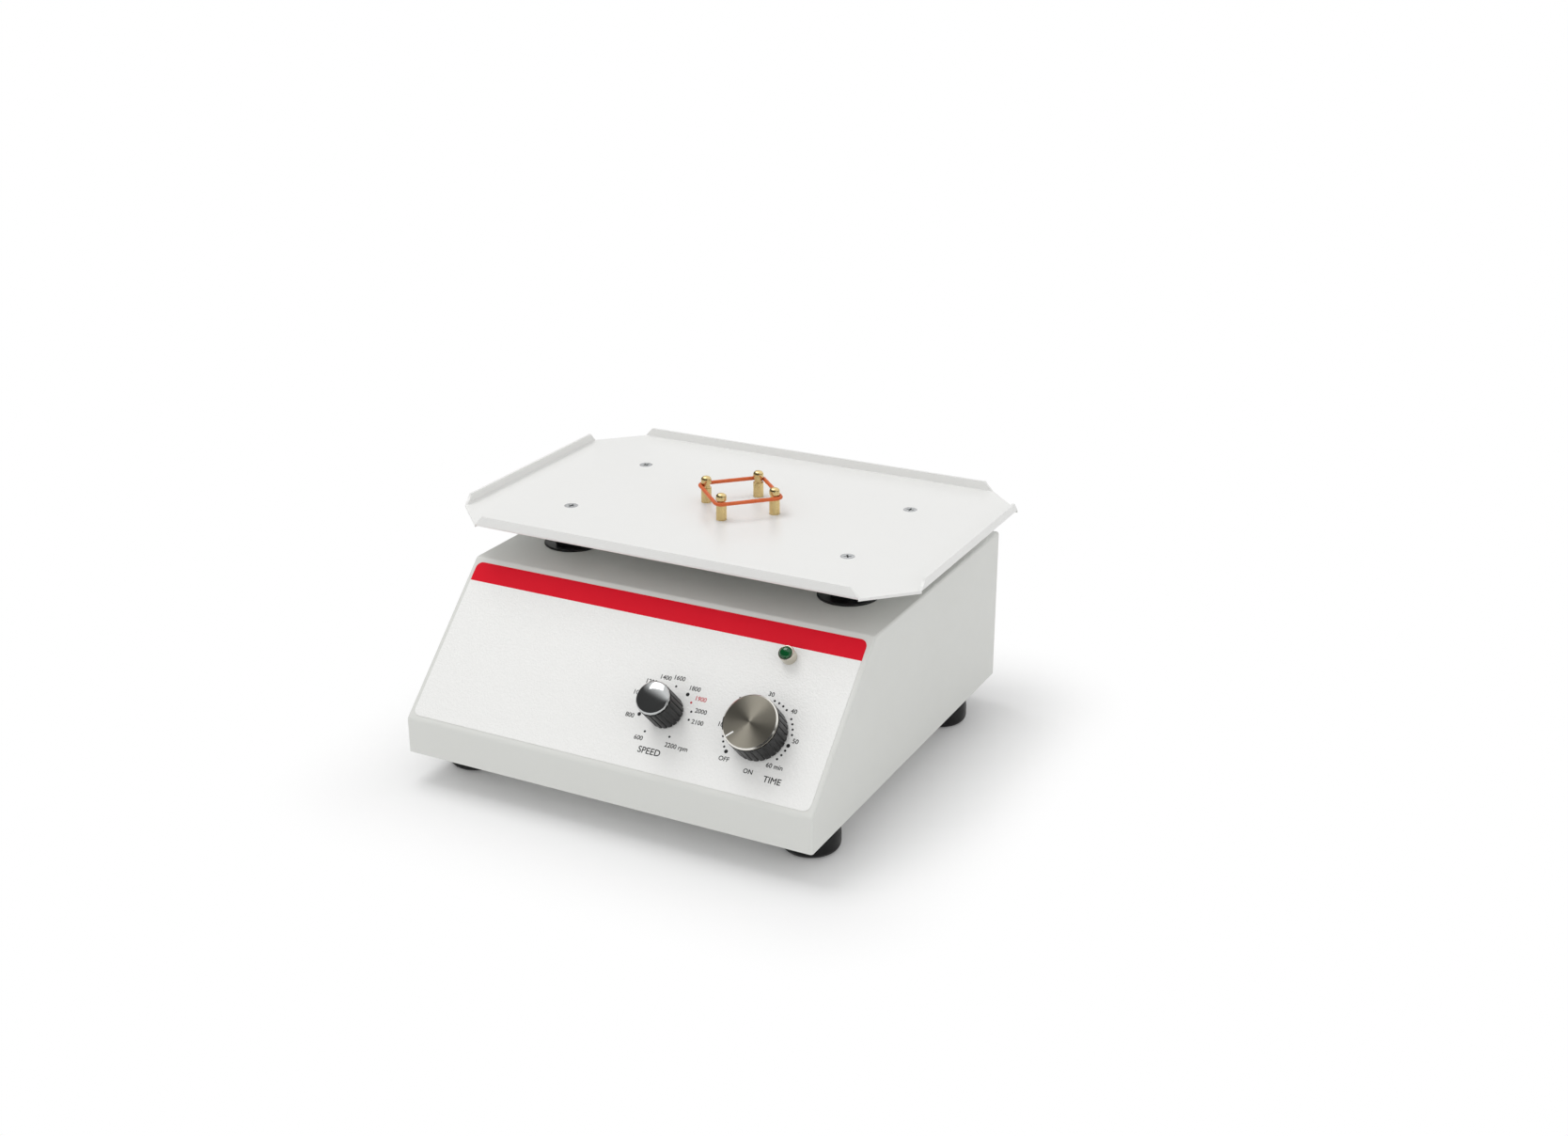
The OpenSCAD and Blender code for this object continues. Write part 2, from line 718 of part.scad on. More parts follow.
// Crank: a hub on the motor shaft whose upper pin stands off centre by the orbit radius
module crank_hub() {
    color("silver") at_places([[0, drive_y]], 0) difference() {
        union() {
            translate([0, 0, hub_low]) cylinder(d = hub_dia, h = crank_shoulder_low - hub_low);
            translate([0, -orbit_r, crank_shoulder_low - eps])
                cylinder(d = crank_shoulder_dia, h = bearing_low - crank_shoulder_low + eps);
            translate([0, -orbit_r, bearing_low - eps])
                cylinder(d = bearing_bore, h = crank_top - bearing_low + eps);
        }
        translate([0, 0, hub_low - 1]) cylinder(d = shaft_dia + 2 * thread_gap, h = hub_bore_depth + 1);
        translate([0, 0, grub_z]) rotate([90, 0, 0]) cylinder(d = m4 + 2 * thread_gap, h = hub_dia);
    }
}

module hub_grub_screw() {
    color("dimgray") at_places([[0, drive_y]], grub_z) rotate([90, 0, 0])
        translate([0, 0, shaft_dia / 2 + thread_gap]) cylinder(d = m4, h = 6);
}

// Counterweight sector on the side away from the crank pin
module counterweight() {
    wide = weight_r * 1.6;
    color("gray") at_places([[0, drive_y]], weight_low) linear_extrude(weight_t) difference() {
        union() {
            intersection() {
                circle(r = weight_r, $fn = 96);
                polygon([[0, 0], [wide, weight_r * 0.9], [wide, 2 * weight_r], [-wide, 2 * weight_r],
                    [-wide, weight_r * 0.9]]);
            }
            circle(d = hub_dia + 2 * weight_collar);
        }
        circle(d = hub_dia + 2 * thread_gap);
    }
}

module bearing_inner_ring() {
    color("silver") at_places([[0, tray_back]], bearing_low) rotate_extrude() difference() {
        translate([bearing_bore / 2 + thread_gap, 0]) square([ring_wall, bearing_w]);
        translate([ball_ring, bearing_w / 2]) circle(d = ball_dia + 2 * run_gap);
    }
}

module bearing_outer_ring() {
    color("silver") at_places([[0, tray_back]], bearing_low) rotate_extrude() difference() {
        translate([bearing_dia / 2 - ring_wall, 0]) square([ring_wall, bearing_w]);
        translate([ball_ring, bearing_w / 2]) circle(d = ball_dia + 2 * run_gap);
    }
}

// Balls held by a flat cage ring
module bearing_balls() {
    color("gold") at_places([[0, tray_back]], bearing_low + bearing_w / 2) {
        for (a = [0:360 / ball_count:359]) rotate(a) translate([ball_ring, 0, 0]) sphere(d = ball_dia);
        translate([0, 0, -0.6]) tube(2 * ball_ring + 2, 2 * ball_ring - 2, 1.2);
    }
}

module crank_clip() {
    color("dimgray") at_places([[0, tray_back]], bearing_top)
        tube(bearing_bore + 2 * ring_wall, bearing_bore + 2 * thread_gap, clip_t);
}

module bearing_circlip() {
    color("dimgray") at_places([[0, tray_back]], bearing_low - circlip_t) difference() {
        tube(bearing_dia + 2, bearing_dia - 3, circlip_t);
        translate([-2, -bearing_dia, -1]) cube([4, bearing_dia, circlip_t + 2]);
    }
}

// Flanged cup under the tray that holds the bearing; the post screws fasten its flange
module bearing_housing() {
    color("lightsteelblue") in_casing() difference() {
        translate([0, tray_back, 0]) rotate_extrude() difference() {
            polygon([[0, housing_low], [housing_dia / 2, housing_low], [housing_dia / 2, flange_low],
                [housing_flange_dia / 2, flange_low], [housing_flange_dia / 2, tray_under], [0, tray_under]]);
            translate([-1, housing_low - 1]) square([bearing_dia / 2 + 1, bearing_top - housing_low + 1]);
            translate([-1, housing_low]) square([relief_dia / 2 + 1, tray_under - housing_low + 1]);
            translate([0, bearing_low - circlip_t]) square([bearing_dia / 2 + 1, circlip_t]);
        }
        screw_holes(post_places, flange_low - 1, m3, housing_flange_t + 2);
    }
}

// One lip section: floor edge, bend and upright, drawn outwards along X
function lip_section() = let (ro = lip_bend + tray_t) concat(
    arc_points([-ro, lip_bend], ro, -90, 0, 5),
    [[0, lip_h], [-tray_t, lip_h]],
    arc_points([-ro, lip_bend], lip_bend, 0, -90, 5));

module tray_lip(half) {
    intersection() {
        rotate([90, 0, 0]) translate([0, 0, -half]) linear_extrude(2 * half) polygon(lip_section());
        rotate([90, 0, 90]) translate([0, 0, -20]) linear_extrude(40)
            polygon([[-half, -tray_t - 1], [half, -tray_t - 1], [half, 0], [half - lip_taper, lip_h],
                [lip_taper - half, lip_h], [-half, 0]]);
    }
}

module shaker_tray() {
    hx = tray_w / 2;
    hy = tray_d / 2;
    c = tray_corner;
    ro = lip_bend + tray_t;
    color("white") in_casing() difference() {
        translate([0, tray_back, tray_floor]) {
            translate([0, 0, -tray_t]) linear_extrude(tray_t) difference() {
                polygon([[hx, hy - c], [hx - c, hy], [c - hx, hy], [-hx, hy - c], [-hx, c - hy], [c - hx, -hy],
                    [hx - c, -hy], [hx, c - hy]]);
                for (s = [0, 180]) rotate(s) {
                    translate([hx - ro, c - hy]) square([ro + 1, 2 * (hy - c)]);
                    translate([c - hx, hy - ro]) square([2 * (hx - c), ro + 1]);
                }
            }
            for (s = [0, 180]) rotate(s) {
                translate([hx, 0, 0]) tray_lip(hy - c);
                rotate(90) translate([hy, 0, 0]) tray_lip(hx - c);
            }
        }
        for (p = leg_places) translate([p[0], p[1], tray_floor]) flush_hole(m4, tray_t + 1);
        screw_holes(post_places, tray_under - 1, post_dia, tray_t + 2);
    }
}

// Guide legs: a collar under the tray and a rod through the gland to the rubber buffer
module tray_legs() {
    color("silver") at_places(leg_places, 0) difference() {
        union() {
            translate([0, 0, leg_foot]) cylinder(d = leg_dia, h = tray_under - leg_foot);
            translate([0, 0, tray_under - leg_collar_h]) cylinder(d = leg_collar_dia, h = leg_collar_h);
        }
        translate([0, 0, tray_floor]) flush_hole(m4, tray_t + 15);
    }
}

module tray_screws() {
    color("silver") at_places(leg_places, tray_floor) flush_screw(m4, tray_t + 3 * m4);
}

function post_profile() = let (
    r = post_dia / 2,
    g = groove_dia / 2,
    low = groove_z - groove_h / 2,
    high = groove_z + groove_h / 2) concat(
    [[0, -tray_t], [r, -tray_t], [r, low - 0.4], [r - 0.4, low]],
    [[g, low], [g, high], [r - 0.3, high], [r, high + 0.3]],
    [for (i = [0:6]) let (a = 15 * i) [r * cos(a), post_h - r * 0.8 + r * 0.8 * sin(a)]]);

// Posts that stand in close holes through the tray floor, on the flange of the bearing housing
module plate_posts() {
    color("goldenrod") at_places(post_places, tray_floor) difference() {
        rotate_extrude() polygon(post_profile());
        translate([0, 0, -tray_t - 1]) cylinder(d = m3 + 2 * thread_gap, h = tray_t + 2 * m3 + 2);
    }
}

module post_screws() {
    color("silver") at_places(post_places, flange_low) mirror([0, 0, 1])
        pan_screw(m3, housing_flange_t + tray_t + 2 * m3);
}

// Elastic cord stretched round the outside of the four posts, in their grooves: a closed tube
// whose rings stand square to the path, with a bend round each post
function band_ring(i) = let (
    post = floor(i / (band_steps + 1)),
    a = 90 * post - 45 + 90 * (i % (band_steps + 1)) / band_steps,
    at = post_pitch * [cos(90 * post), sin(90 * post), 0],
    out = [cos(a), sin(a), 0])
    [for (j = [0:band_sides - 1]) let (f = 360 * j / band_sides)
        at + out * (band_reach + band_dia / 2 * cos(f)) + [0, 0, band_dia / 2 * sin(f)]];

module elastic_band() {
    color("orangered") in_casing() translate([0, tray_back, tray_floor + groove_z]) polyhedron(
        [for (i = [0:band_rings - 1]) each band_ring(i)],
        [for (i = [0:band_rings - 1], j = [0:band_sides - 1])
            let (a = i * band_sides, b = (i + 1) % band_rings * band_sides, k = (j + 1) % band_sides)
                [a + j, a + k, b + k, b + j]]);
}

// Flanged glands that close the casing round the legs
module leg_glands() {
    color("black") at_places(gland_places, body_h) difference() {
        union() {
            cylinder(d = gland_dia, h = gland_t);
            translate([0, 0, gland_t - eps]) hexagon(gland_hex, gland_hex_h + eps);
            translate([0, 0, -gland_sleeve]) cylinder(d = gland_thread, h = gland_sleeve + eps);
        }
        translate([0, 0, -gland_sleeve - 1]) cylinder(d = gland_bore, h = gland_sleeve + gland_t + gland_hex_h + 2);
    }
}

module gland_nuts() {
    color("black") at_places(gland_places, top_under - gland_nut_t)
        hex_nut(gland_hex + 2, gland_thread + 2 * thread_gap, gland_nut_t);
}

// Rubber buffers on the base, one under each leg
module leg_buffers() {
    color("dimgray") at_places(gland_places, sheet_t) difference() {
        rotate_extrude() polygon(concat([[0, 0], [buffer_dia / 2, 0], [buffer_dia / 2, 2]],
            arc_points([buffer_dia / 2 + buffer_h * 0.9, buffer_h / 2], buffer_h, 200, 160, 8),
            [[buffer_dia / 2, buffer_h - 2], [buffer_dia / 2, buffer_h], [0, buffer_h]]));
        translate([0, 0, -1]) cylinder(d = m4 + 2 * thread_gap, h = 1 + buffer_screw_in + 1);
    }
}

module buffer_screws() {
    color("silver") at_places(gland_places, 0) mirror([0, 0, 1]) pan_screw(m4, sheet_t + buffer_screw_in);
}

// Threaded bush of a control, through the panel, with a bore for its spindle
module control_bush(depth) {
    translate([0, 0, -depth]) cylinder(d = bush_dia, h = depth + bush_front);
}

module spindle_bore(depth) {
    translate([0, 0, -depth]) cylinder(d = spindle_dia + 2 * run_gap, h = depth + bush_front + 1);
}

module speed_pot() {
    color("darkslategray") on_panel(speed_x, dial_v) difference() {
        union() {
            translate([0, 0, -sheet_t - pot_len]) cylinder(d = pot_dia, h = pot_len);
            control_bush(sheet_t + eps);
            translate([-pot_tags[0] / 2, 1 - pot_dia / 2 - pot_tags[1], -sheet_t - pot_tags[2] - 3]) cube(pot_tags);
        }
        spindle_bore(sheet_t + spindle_end + rest_gap);
    }
}

module timer_body() {
    color("dimgray") on_panel(timer_x, dial_v) difference() {
        union() {
            translate([0, 0, -sheet_t - timer_len]) linear_extrude(timer_len - thread_gap) timer_outline();
            control_bush(sheet_t + eps);
        }
        spindle_bore(sheet_t + spindle_end + rest_gap);
    }
}

module timer_outline() {
    h = timer_box / 2;
    k = h - timer_cut;
    polygon([[h, -k], [h, k], [k, h], [-k, h], [-h, k], [-h, -k], [-k, -h], [k, -h]]);
}

module control_nut() {
    translate([0, 0, film_t]) hex_nut(nut_af, bush_dia + 2 * thread_gap, nut_t);
}

module speed_nut() {
    color("silver") on_panel(speed_x, dial_v) control_nut();
}

module timer_nut() {
    color("silver") on_panel(timer_x, dial_v) control_nut();
}

module spindle(length) {
    translate([0, 0, -sheet_t - spindle_end]) cylinder(d = spindle_dia, h = sheet_t + spindle_end + length);
}

module speed_spindle() {
    color("silver") on_panel(speed_x, dial_v) spindle(speed_h - 4);
}

module timer_spindle() {
    color("silver") on_panel(timer_x, dial_v) spindle(timer_h - disc_t - 1);
}

// Hollow under a knob for the nut, and the bore for the spindle
module knob_cuts(dia, deep) {
    cylinder(d = dia, h = film_t + nut_t + 1.2);
    cylinder(d = bush_dia + 1.2, h = bush_front + 0.8);
    cylinder(d = spindle_dia + 2 * thread_gap, h = deep);
}

// Round grip with shallow grooves cut along it
module grip(dia, h, grooves, groove_dia, groove_out) {
    linear_extrude(h) difference() {
        circle(d = dia, $fn = 96);
        for (i = [0:grooves - 1]) rotate(i * 360 / grooves) translate([dia / 2 + groove_out, 0])
            circle(d = groove_dia, $fn = 24);
    }
}

module speed_knob() {
    low = film_t + knob_gap;
    skirt_h = speed_h - cap_h - low;
    color("black") on_panel(speed_x, dial_v) difference() {
        translate([0, 0, low]) {
            grip(speed_dia, skirt_h, speed_grips, speed_groove, speed_groove_out);
            cylinder(d = speed_dia - 2, h = skirt_h + cap_seat);
        }
        knob_cuts(speed_dia - 3.2, speed_h - cap_h + eps);
    }
}

module speed_knob_cap() {
    rise = cap_h - cap_seat;
    r = speed_dia / 2 - 0.2;
    color("slategray") on_panel(speed_x, dial_v) translate([0, 0, speed_h - rise]) rotate_extrude()
        polygon(concat([[0, 0], [r, 0], [r, 1]],
            [for (i = [0:6]) let (a = 15 * i) [r * cos(a), 1 + (rise - 1) * sin(a)]]));
}

module timer_knob() {
    low = film_t + knob_gap;
    skirt_h = timer_h - disc_t - low;
    color("black") on_panel(timer_x, dial_v) difference() {
        translate([0, 0, low]) {
            grip(timer_dia, skirt_h - 1.2, timer_grips, timer_groove, timer_groove_out);
            cylinder(d = timer_dia - 1, h = skirt_h);
        }
        knob_cuts(timer_dia - 5, timer_h - disc_t - 1 + thread_gap);
    }
}

module timer_knob_disc() {
    r = timer_dia / 2 - 0.2;
    color("silver") on_panel(timer_x, dial_v) translate([0, 0, timer_h - disc_t]) {
        cylinder(r = r, h = disc_t - disc_bevel);
        translate([0, 0, disc_t - disc_bevel]) cylinder(r1 = r, r2 = r - disc_bevel, h = disc_bevel);
    }
}

module lamp_bezel() {
    r = lamp_dia / 2;
    seat = lens_dia / 2 - 0.8;
    bore = lens_dia / 2 + thread_gap;
    step = lamp_h - lens_sink;
    color("silver") on_panel(lamp_x, lamp_v) rotate_extrude() polygon([[seat, film_t], [r, film_t],
        [r, lamp_h - 1], [r - 0.5, lamp_h], [bore, lamp_h], [bore, step], [seat, step]]);
}

module lamp_lens() {
    r = lens_dia / 2;
    rim = lens_sink - 0.2;
    color("green") on_panel(lamp_x, lamp_v) translate([0, 0, lamp_h - lens_sink]) rotate_extrude()
        polygon(concat([[0, 0], [r, 0], [r, rim]],
            [for (i = [0:6]) let (a = 15 * i) [r * cos(a), rim + lens_rise * sin(a)]]));
}

module lamp_holder() {
    color("lightgray") on_panel(lamp_x, lamp_v) {
        translate([0, 0, -sheet_t - holder_len]) cylinder(d = lamp_neck, h = holder_len + sheet_t + film_t);
        translate([0, 0, film_t - eps]) cylinder(d = lens_dia - 1.7, h = lamp_h - lens_sink - film_t);
    }
}

module lamp_nut() {
    color("silver") on_panel(lamp_x, lamp_v) translate([0, 0, -sheet_t - lamp_nut_t])
        hex_nut(lamp_neck + 3, lamp_neck + 2 * thread_gap, lamp_nut_t);
}

module control_board() {
    color("darkgreen") in_casing() translate([board_at[0], board_at[1], sheet_t + board_lift]) difference() {
        translate([-board[0] / 2, -board[1] / 2, 0]) cube(board);
        for (h = board_holes) translate([h[0], h[1], -1]) cylinder(d = m3 + 2 * thread_gap, h = board[2] + 2);
    }
}

// Capacitors, relay, power device on its heat sink and terminal block
module board_parts() {
    color("dimgray") in_casing() translate([board_at[0], board_at[1], sheet_t + board_lift + board[2]]) {
        for (c = capacitor_places) translate([c[0], c[1], 0]) cylinder(d = capacitor_dia, h = capacitor_h);
        translate([relay_at[0], relay_at[1], 0]) cube(relay);
        translate([sink_at[0], sink_at[1], 0]) cube(sink);
        for (i = [0:4]) translate([sink_at[0] + i * fin_pitch, sink_at[1] + sink[1], 0]) cube(fin);
        translate(power_chip_at) cube(power_chip);
        translate([terminals_at[0], terminals_at[1], 0]) cube(terminals);
    }
}

module board_spacers() {
    color("ivory") at_places([for (h = board_holes) board_at + h], sheet_t)
        tube(2 * m3 + 1, m3 + 2 * thread_gap, board_lift);
}

module board_screws() {
    color("silver") at_places([for (h = board_holes) board_at + h], sheet_t + board_lift + board[2])
        pan_screw(m3, board[2] + board_lift + sheet_t);
}

// Laminated core with a mounting strap, and the winding that passes through its two windows
module transformer_core() {
    depth = core[1] - 2 * coil_out;
    color("dimgray") in_casing() translate([core_at[0], core_at[1], sheet_t]) difference() {
        union() {
            translate([-core[0] / 2, -depth / 2, 0]) cube([core[0], depth, core[2]]);
            translate([-core[0] / 2 - core_ear, -depth / 2, 0]) cube([core[0] + 2 * core_ear, depth, core_strap]);
        }
        for (s = [-1, 1]) {
            translate([s * core_window_x - core_window[0] / 2, -core[1], core_yoke])
                cube([core_window[0], 2 * core[1], core_window[1]]);
            translate([s * (core[0] / 2 + core_ear / 2), 0, -1])
                cylinder(d = m4 + 2 * thread_gap, h = core_strap + 2);
        }
    }
}

module transformer_coil() {
    half = core_window_x + core_window[0] / 2 - thread_gap;
    limb = core_window_x - core_window[0] / 2 + thread_gap;
    color("peru") in_casing() translate([core_at[0], core_at[1], sheet_t + core_yoke + thread_gap])
        linear_extrude(core_window[1] - 2 * thread_gap) difference() {
            square([2 * half, core[1]], center = true);
            square([2 * limb, core[1] - 2 * coil_out + 2 * thread_gap], center = true);
        }
}

module transformer_screws() {
    color("silver") at_places(core_screw_places, sheet_t + core_strap) pan_screw(m4, sheet_t + core_strap);
}

casing_shell();
base_chassis();
panel_overlay();
overlay_stripe();
base_screws();
rear_screws();
rubber_feet();
foot_screws();
power_inlet();
inlet_pins();
fuse_drawer();
inlet_screws();
motor_can();
motor_stator();
motor_bridge();
motor_screws();
bridge_screws();
motor_rotor();
motor_shaft();
crank_hub();
hub_grub_screw();
counterweight();
bearing_inner_ring();
bearing_balls();
crank_clip();
bearing_outer_ring();
bearing_circlip();
bearing_housing();
shaker_tray();
tray_legs();
tray_screws();
plate_posts();
post_screws();
elastic_band();
leg_glands();
gland_nuts();
leg_buffers();
buffer_screws();
speed_pot();
speed_nut();
speed_spindle();
speed_knob();
speed_knob_cap();
timer_body();
timer_nut();
timer_spindle();
timer_knob();
timer_knob_disc();
lamp_bezel();
lamp_lens();
lamp_holder();
lamp_nut();
control_board();
board_parts();
board_spacers();
board_screws();
transformer_core();
transformer_coil();
transformer_screws();
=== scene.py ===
"""Looks for the microplate shaker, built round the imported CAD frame.

Shapes are drawn in millimetres and brought to metres when a piece is finished.
"""

import json
import logging
import math
from dataclasses import dataclass, field
from enum import Enum
from typing import Any, Iterable, Sequence

import bmesh
import bpy
from mathutils import Matrix, Vector
from mathutils.geometry import tessellate_polygon

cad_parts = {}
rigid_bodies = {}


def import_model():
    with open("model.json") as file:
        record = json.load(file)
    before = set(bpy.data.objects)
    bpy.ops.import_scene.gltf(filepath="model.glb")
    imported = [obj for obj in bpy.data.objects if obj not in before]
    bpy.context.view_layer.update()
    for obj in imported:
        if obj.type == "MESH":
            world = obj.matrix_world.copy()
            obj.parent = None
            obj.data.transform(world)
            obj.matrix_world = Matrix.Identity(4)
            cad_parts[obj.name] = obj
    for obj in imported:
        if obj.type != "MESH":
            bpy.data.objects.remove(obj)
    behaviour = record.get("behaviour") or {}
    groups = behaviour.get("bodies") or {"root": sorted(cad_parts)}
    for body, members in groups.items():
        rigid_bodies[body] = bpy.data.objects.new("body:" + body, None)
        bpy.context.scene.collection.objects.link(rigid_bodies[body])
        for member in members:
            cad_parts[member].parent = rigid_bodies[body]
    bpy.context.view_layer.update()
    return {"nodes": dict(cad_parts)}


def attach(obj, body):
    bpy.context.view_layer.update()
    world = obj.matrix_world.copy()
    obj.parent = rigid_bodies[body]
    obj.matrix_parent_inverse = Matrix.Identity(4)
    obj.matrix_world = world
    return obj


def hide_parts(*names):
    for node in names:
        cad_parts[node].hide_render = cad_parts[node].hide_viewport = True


LOG = logging.getLogger("shaker")
MM = 0.001
# Sides of a turned form, and the radius in millimetres below which a point is on its axis
ROUND = 96
ON_AXIS = 1e-6
# Millimetres within which a CAD copy's corners are welded, degrees within which its faces are one
WELD = 0.002
FLAT_WITHIN = 0.4

# The casing's sizes that more than one piece stands on, in millimetres
CASING_FRONT = -125.0
FEET = 18.0
BAND = 20.3
COVER = 91.3
SLOPE_DEPTH = 72.2
FILM = 0.3
PANEL_ORIGIN = Vector((0.0, CASING_FRONT, FEET + BAND))
PANEL_TILT = math.atan2(COVER - BAND, SLOPE_DEPTH)

Point2 = tuple[float, float]
Point3 = tuple[float, float, float]
Outline = Sequence[Point2]
Corners = Sequence[bmesh.types.BMVert]
Tree = bpy.types.NodeTree
Socket = bpy.types.NodeSocket

for _leftover in list(bpy.data.objects):
    bpy.data.objects.remove(_leftover)
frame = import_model()


def linear(hex_code: str) -> tuple[float, float, float, float]:
    """Turns an sRGB hex colour to the linear values that Blender's sockets hold.

    Args:
        hex_code: Six hex digits.

    Returns:
        Red, green, blue and an alpha of 1.
    """
    parts = [int(hex_code[i:i + 2], 16) / 255 for i in (0, 2, 4)]
    r, g, b = (c / 12.92 if c <= 0.04045 else ((c + 0.055) / 1.055) ** 2.4 for c in parts)
    return r, g, b, 1.0


def add(tree: Tree, kind: str, settings: dict[str, Any] | None = None,
        inputs: dict[str | int, Any] | None = None) -> bpy.types.Node:
    """Adds one node to a tree.

    Args:
        tree: Shader or geometry tree.
        kind: Blender's name for the node type.
        settings: Node properties to set.
        inputs: For each input name or place, a value or the socket that feeds it.

    Returns:
        The new node.
    """
    node = tree.nodes.new(kind)
    for name, value in (settings or {}).items():
        setattr(node, name, value)
    for name, value in (inputs or {}).items():
        if isinstance(value, bpy.types.NodeSocket):
            tree.links.new(value, node.inputs[name])
        else:
            node.inputs[name].default_value = value
    return node


class Relief(Enum):
    """Fine surface forms that a finish can have."""

    SMOOTH = "smooth"
    PEBBLE = "pebble"
    PEEL = "peel"
    GRAIN = "grain"
    BRUSHED = "brushed"
    TURNED = "turned"
    SPANGLE = "spangle"


# How far light goes into a cloudy plastic, and the size of duller and shinier patches, in millimetres
SCATTER_DEPTH = 1.5
PATCH_SIZE = 8.0
# Bounds of the noise that the roughness follows, and the least roughness
NOISE_RANGE = (0.3, 0.7)
LEAST_ROUGHNESS = 0.02
# Part of a turn that lays anisotropic light across the rings
ACROSS = 0.25
# How much finer a brushed surface is along each axis: its lines run along X
BRUSH_FINER = (1.0, 30.0, 30.0)


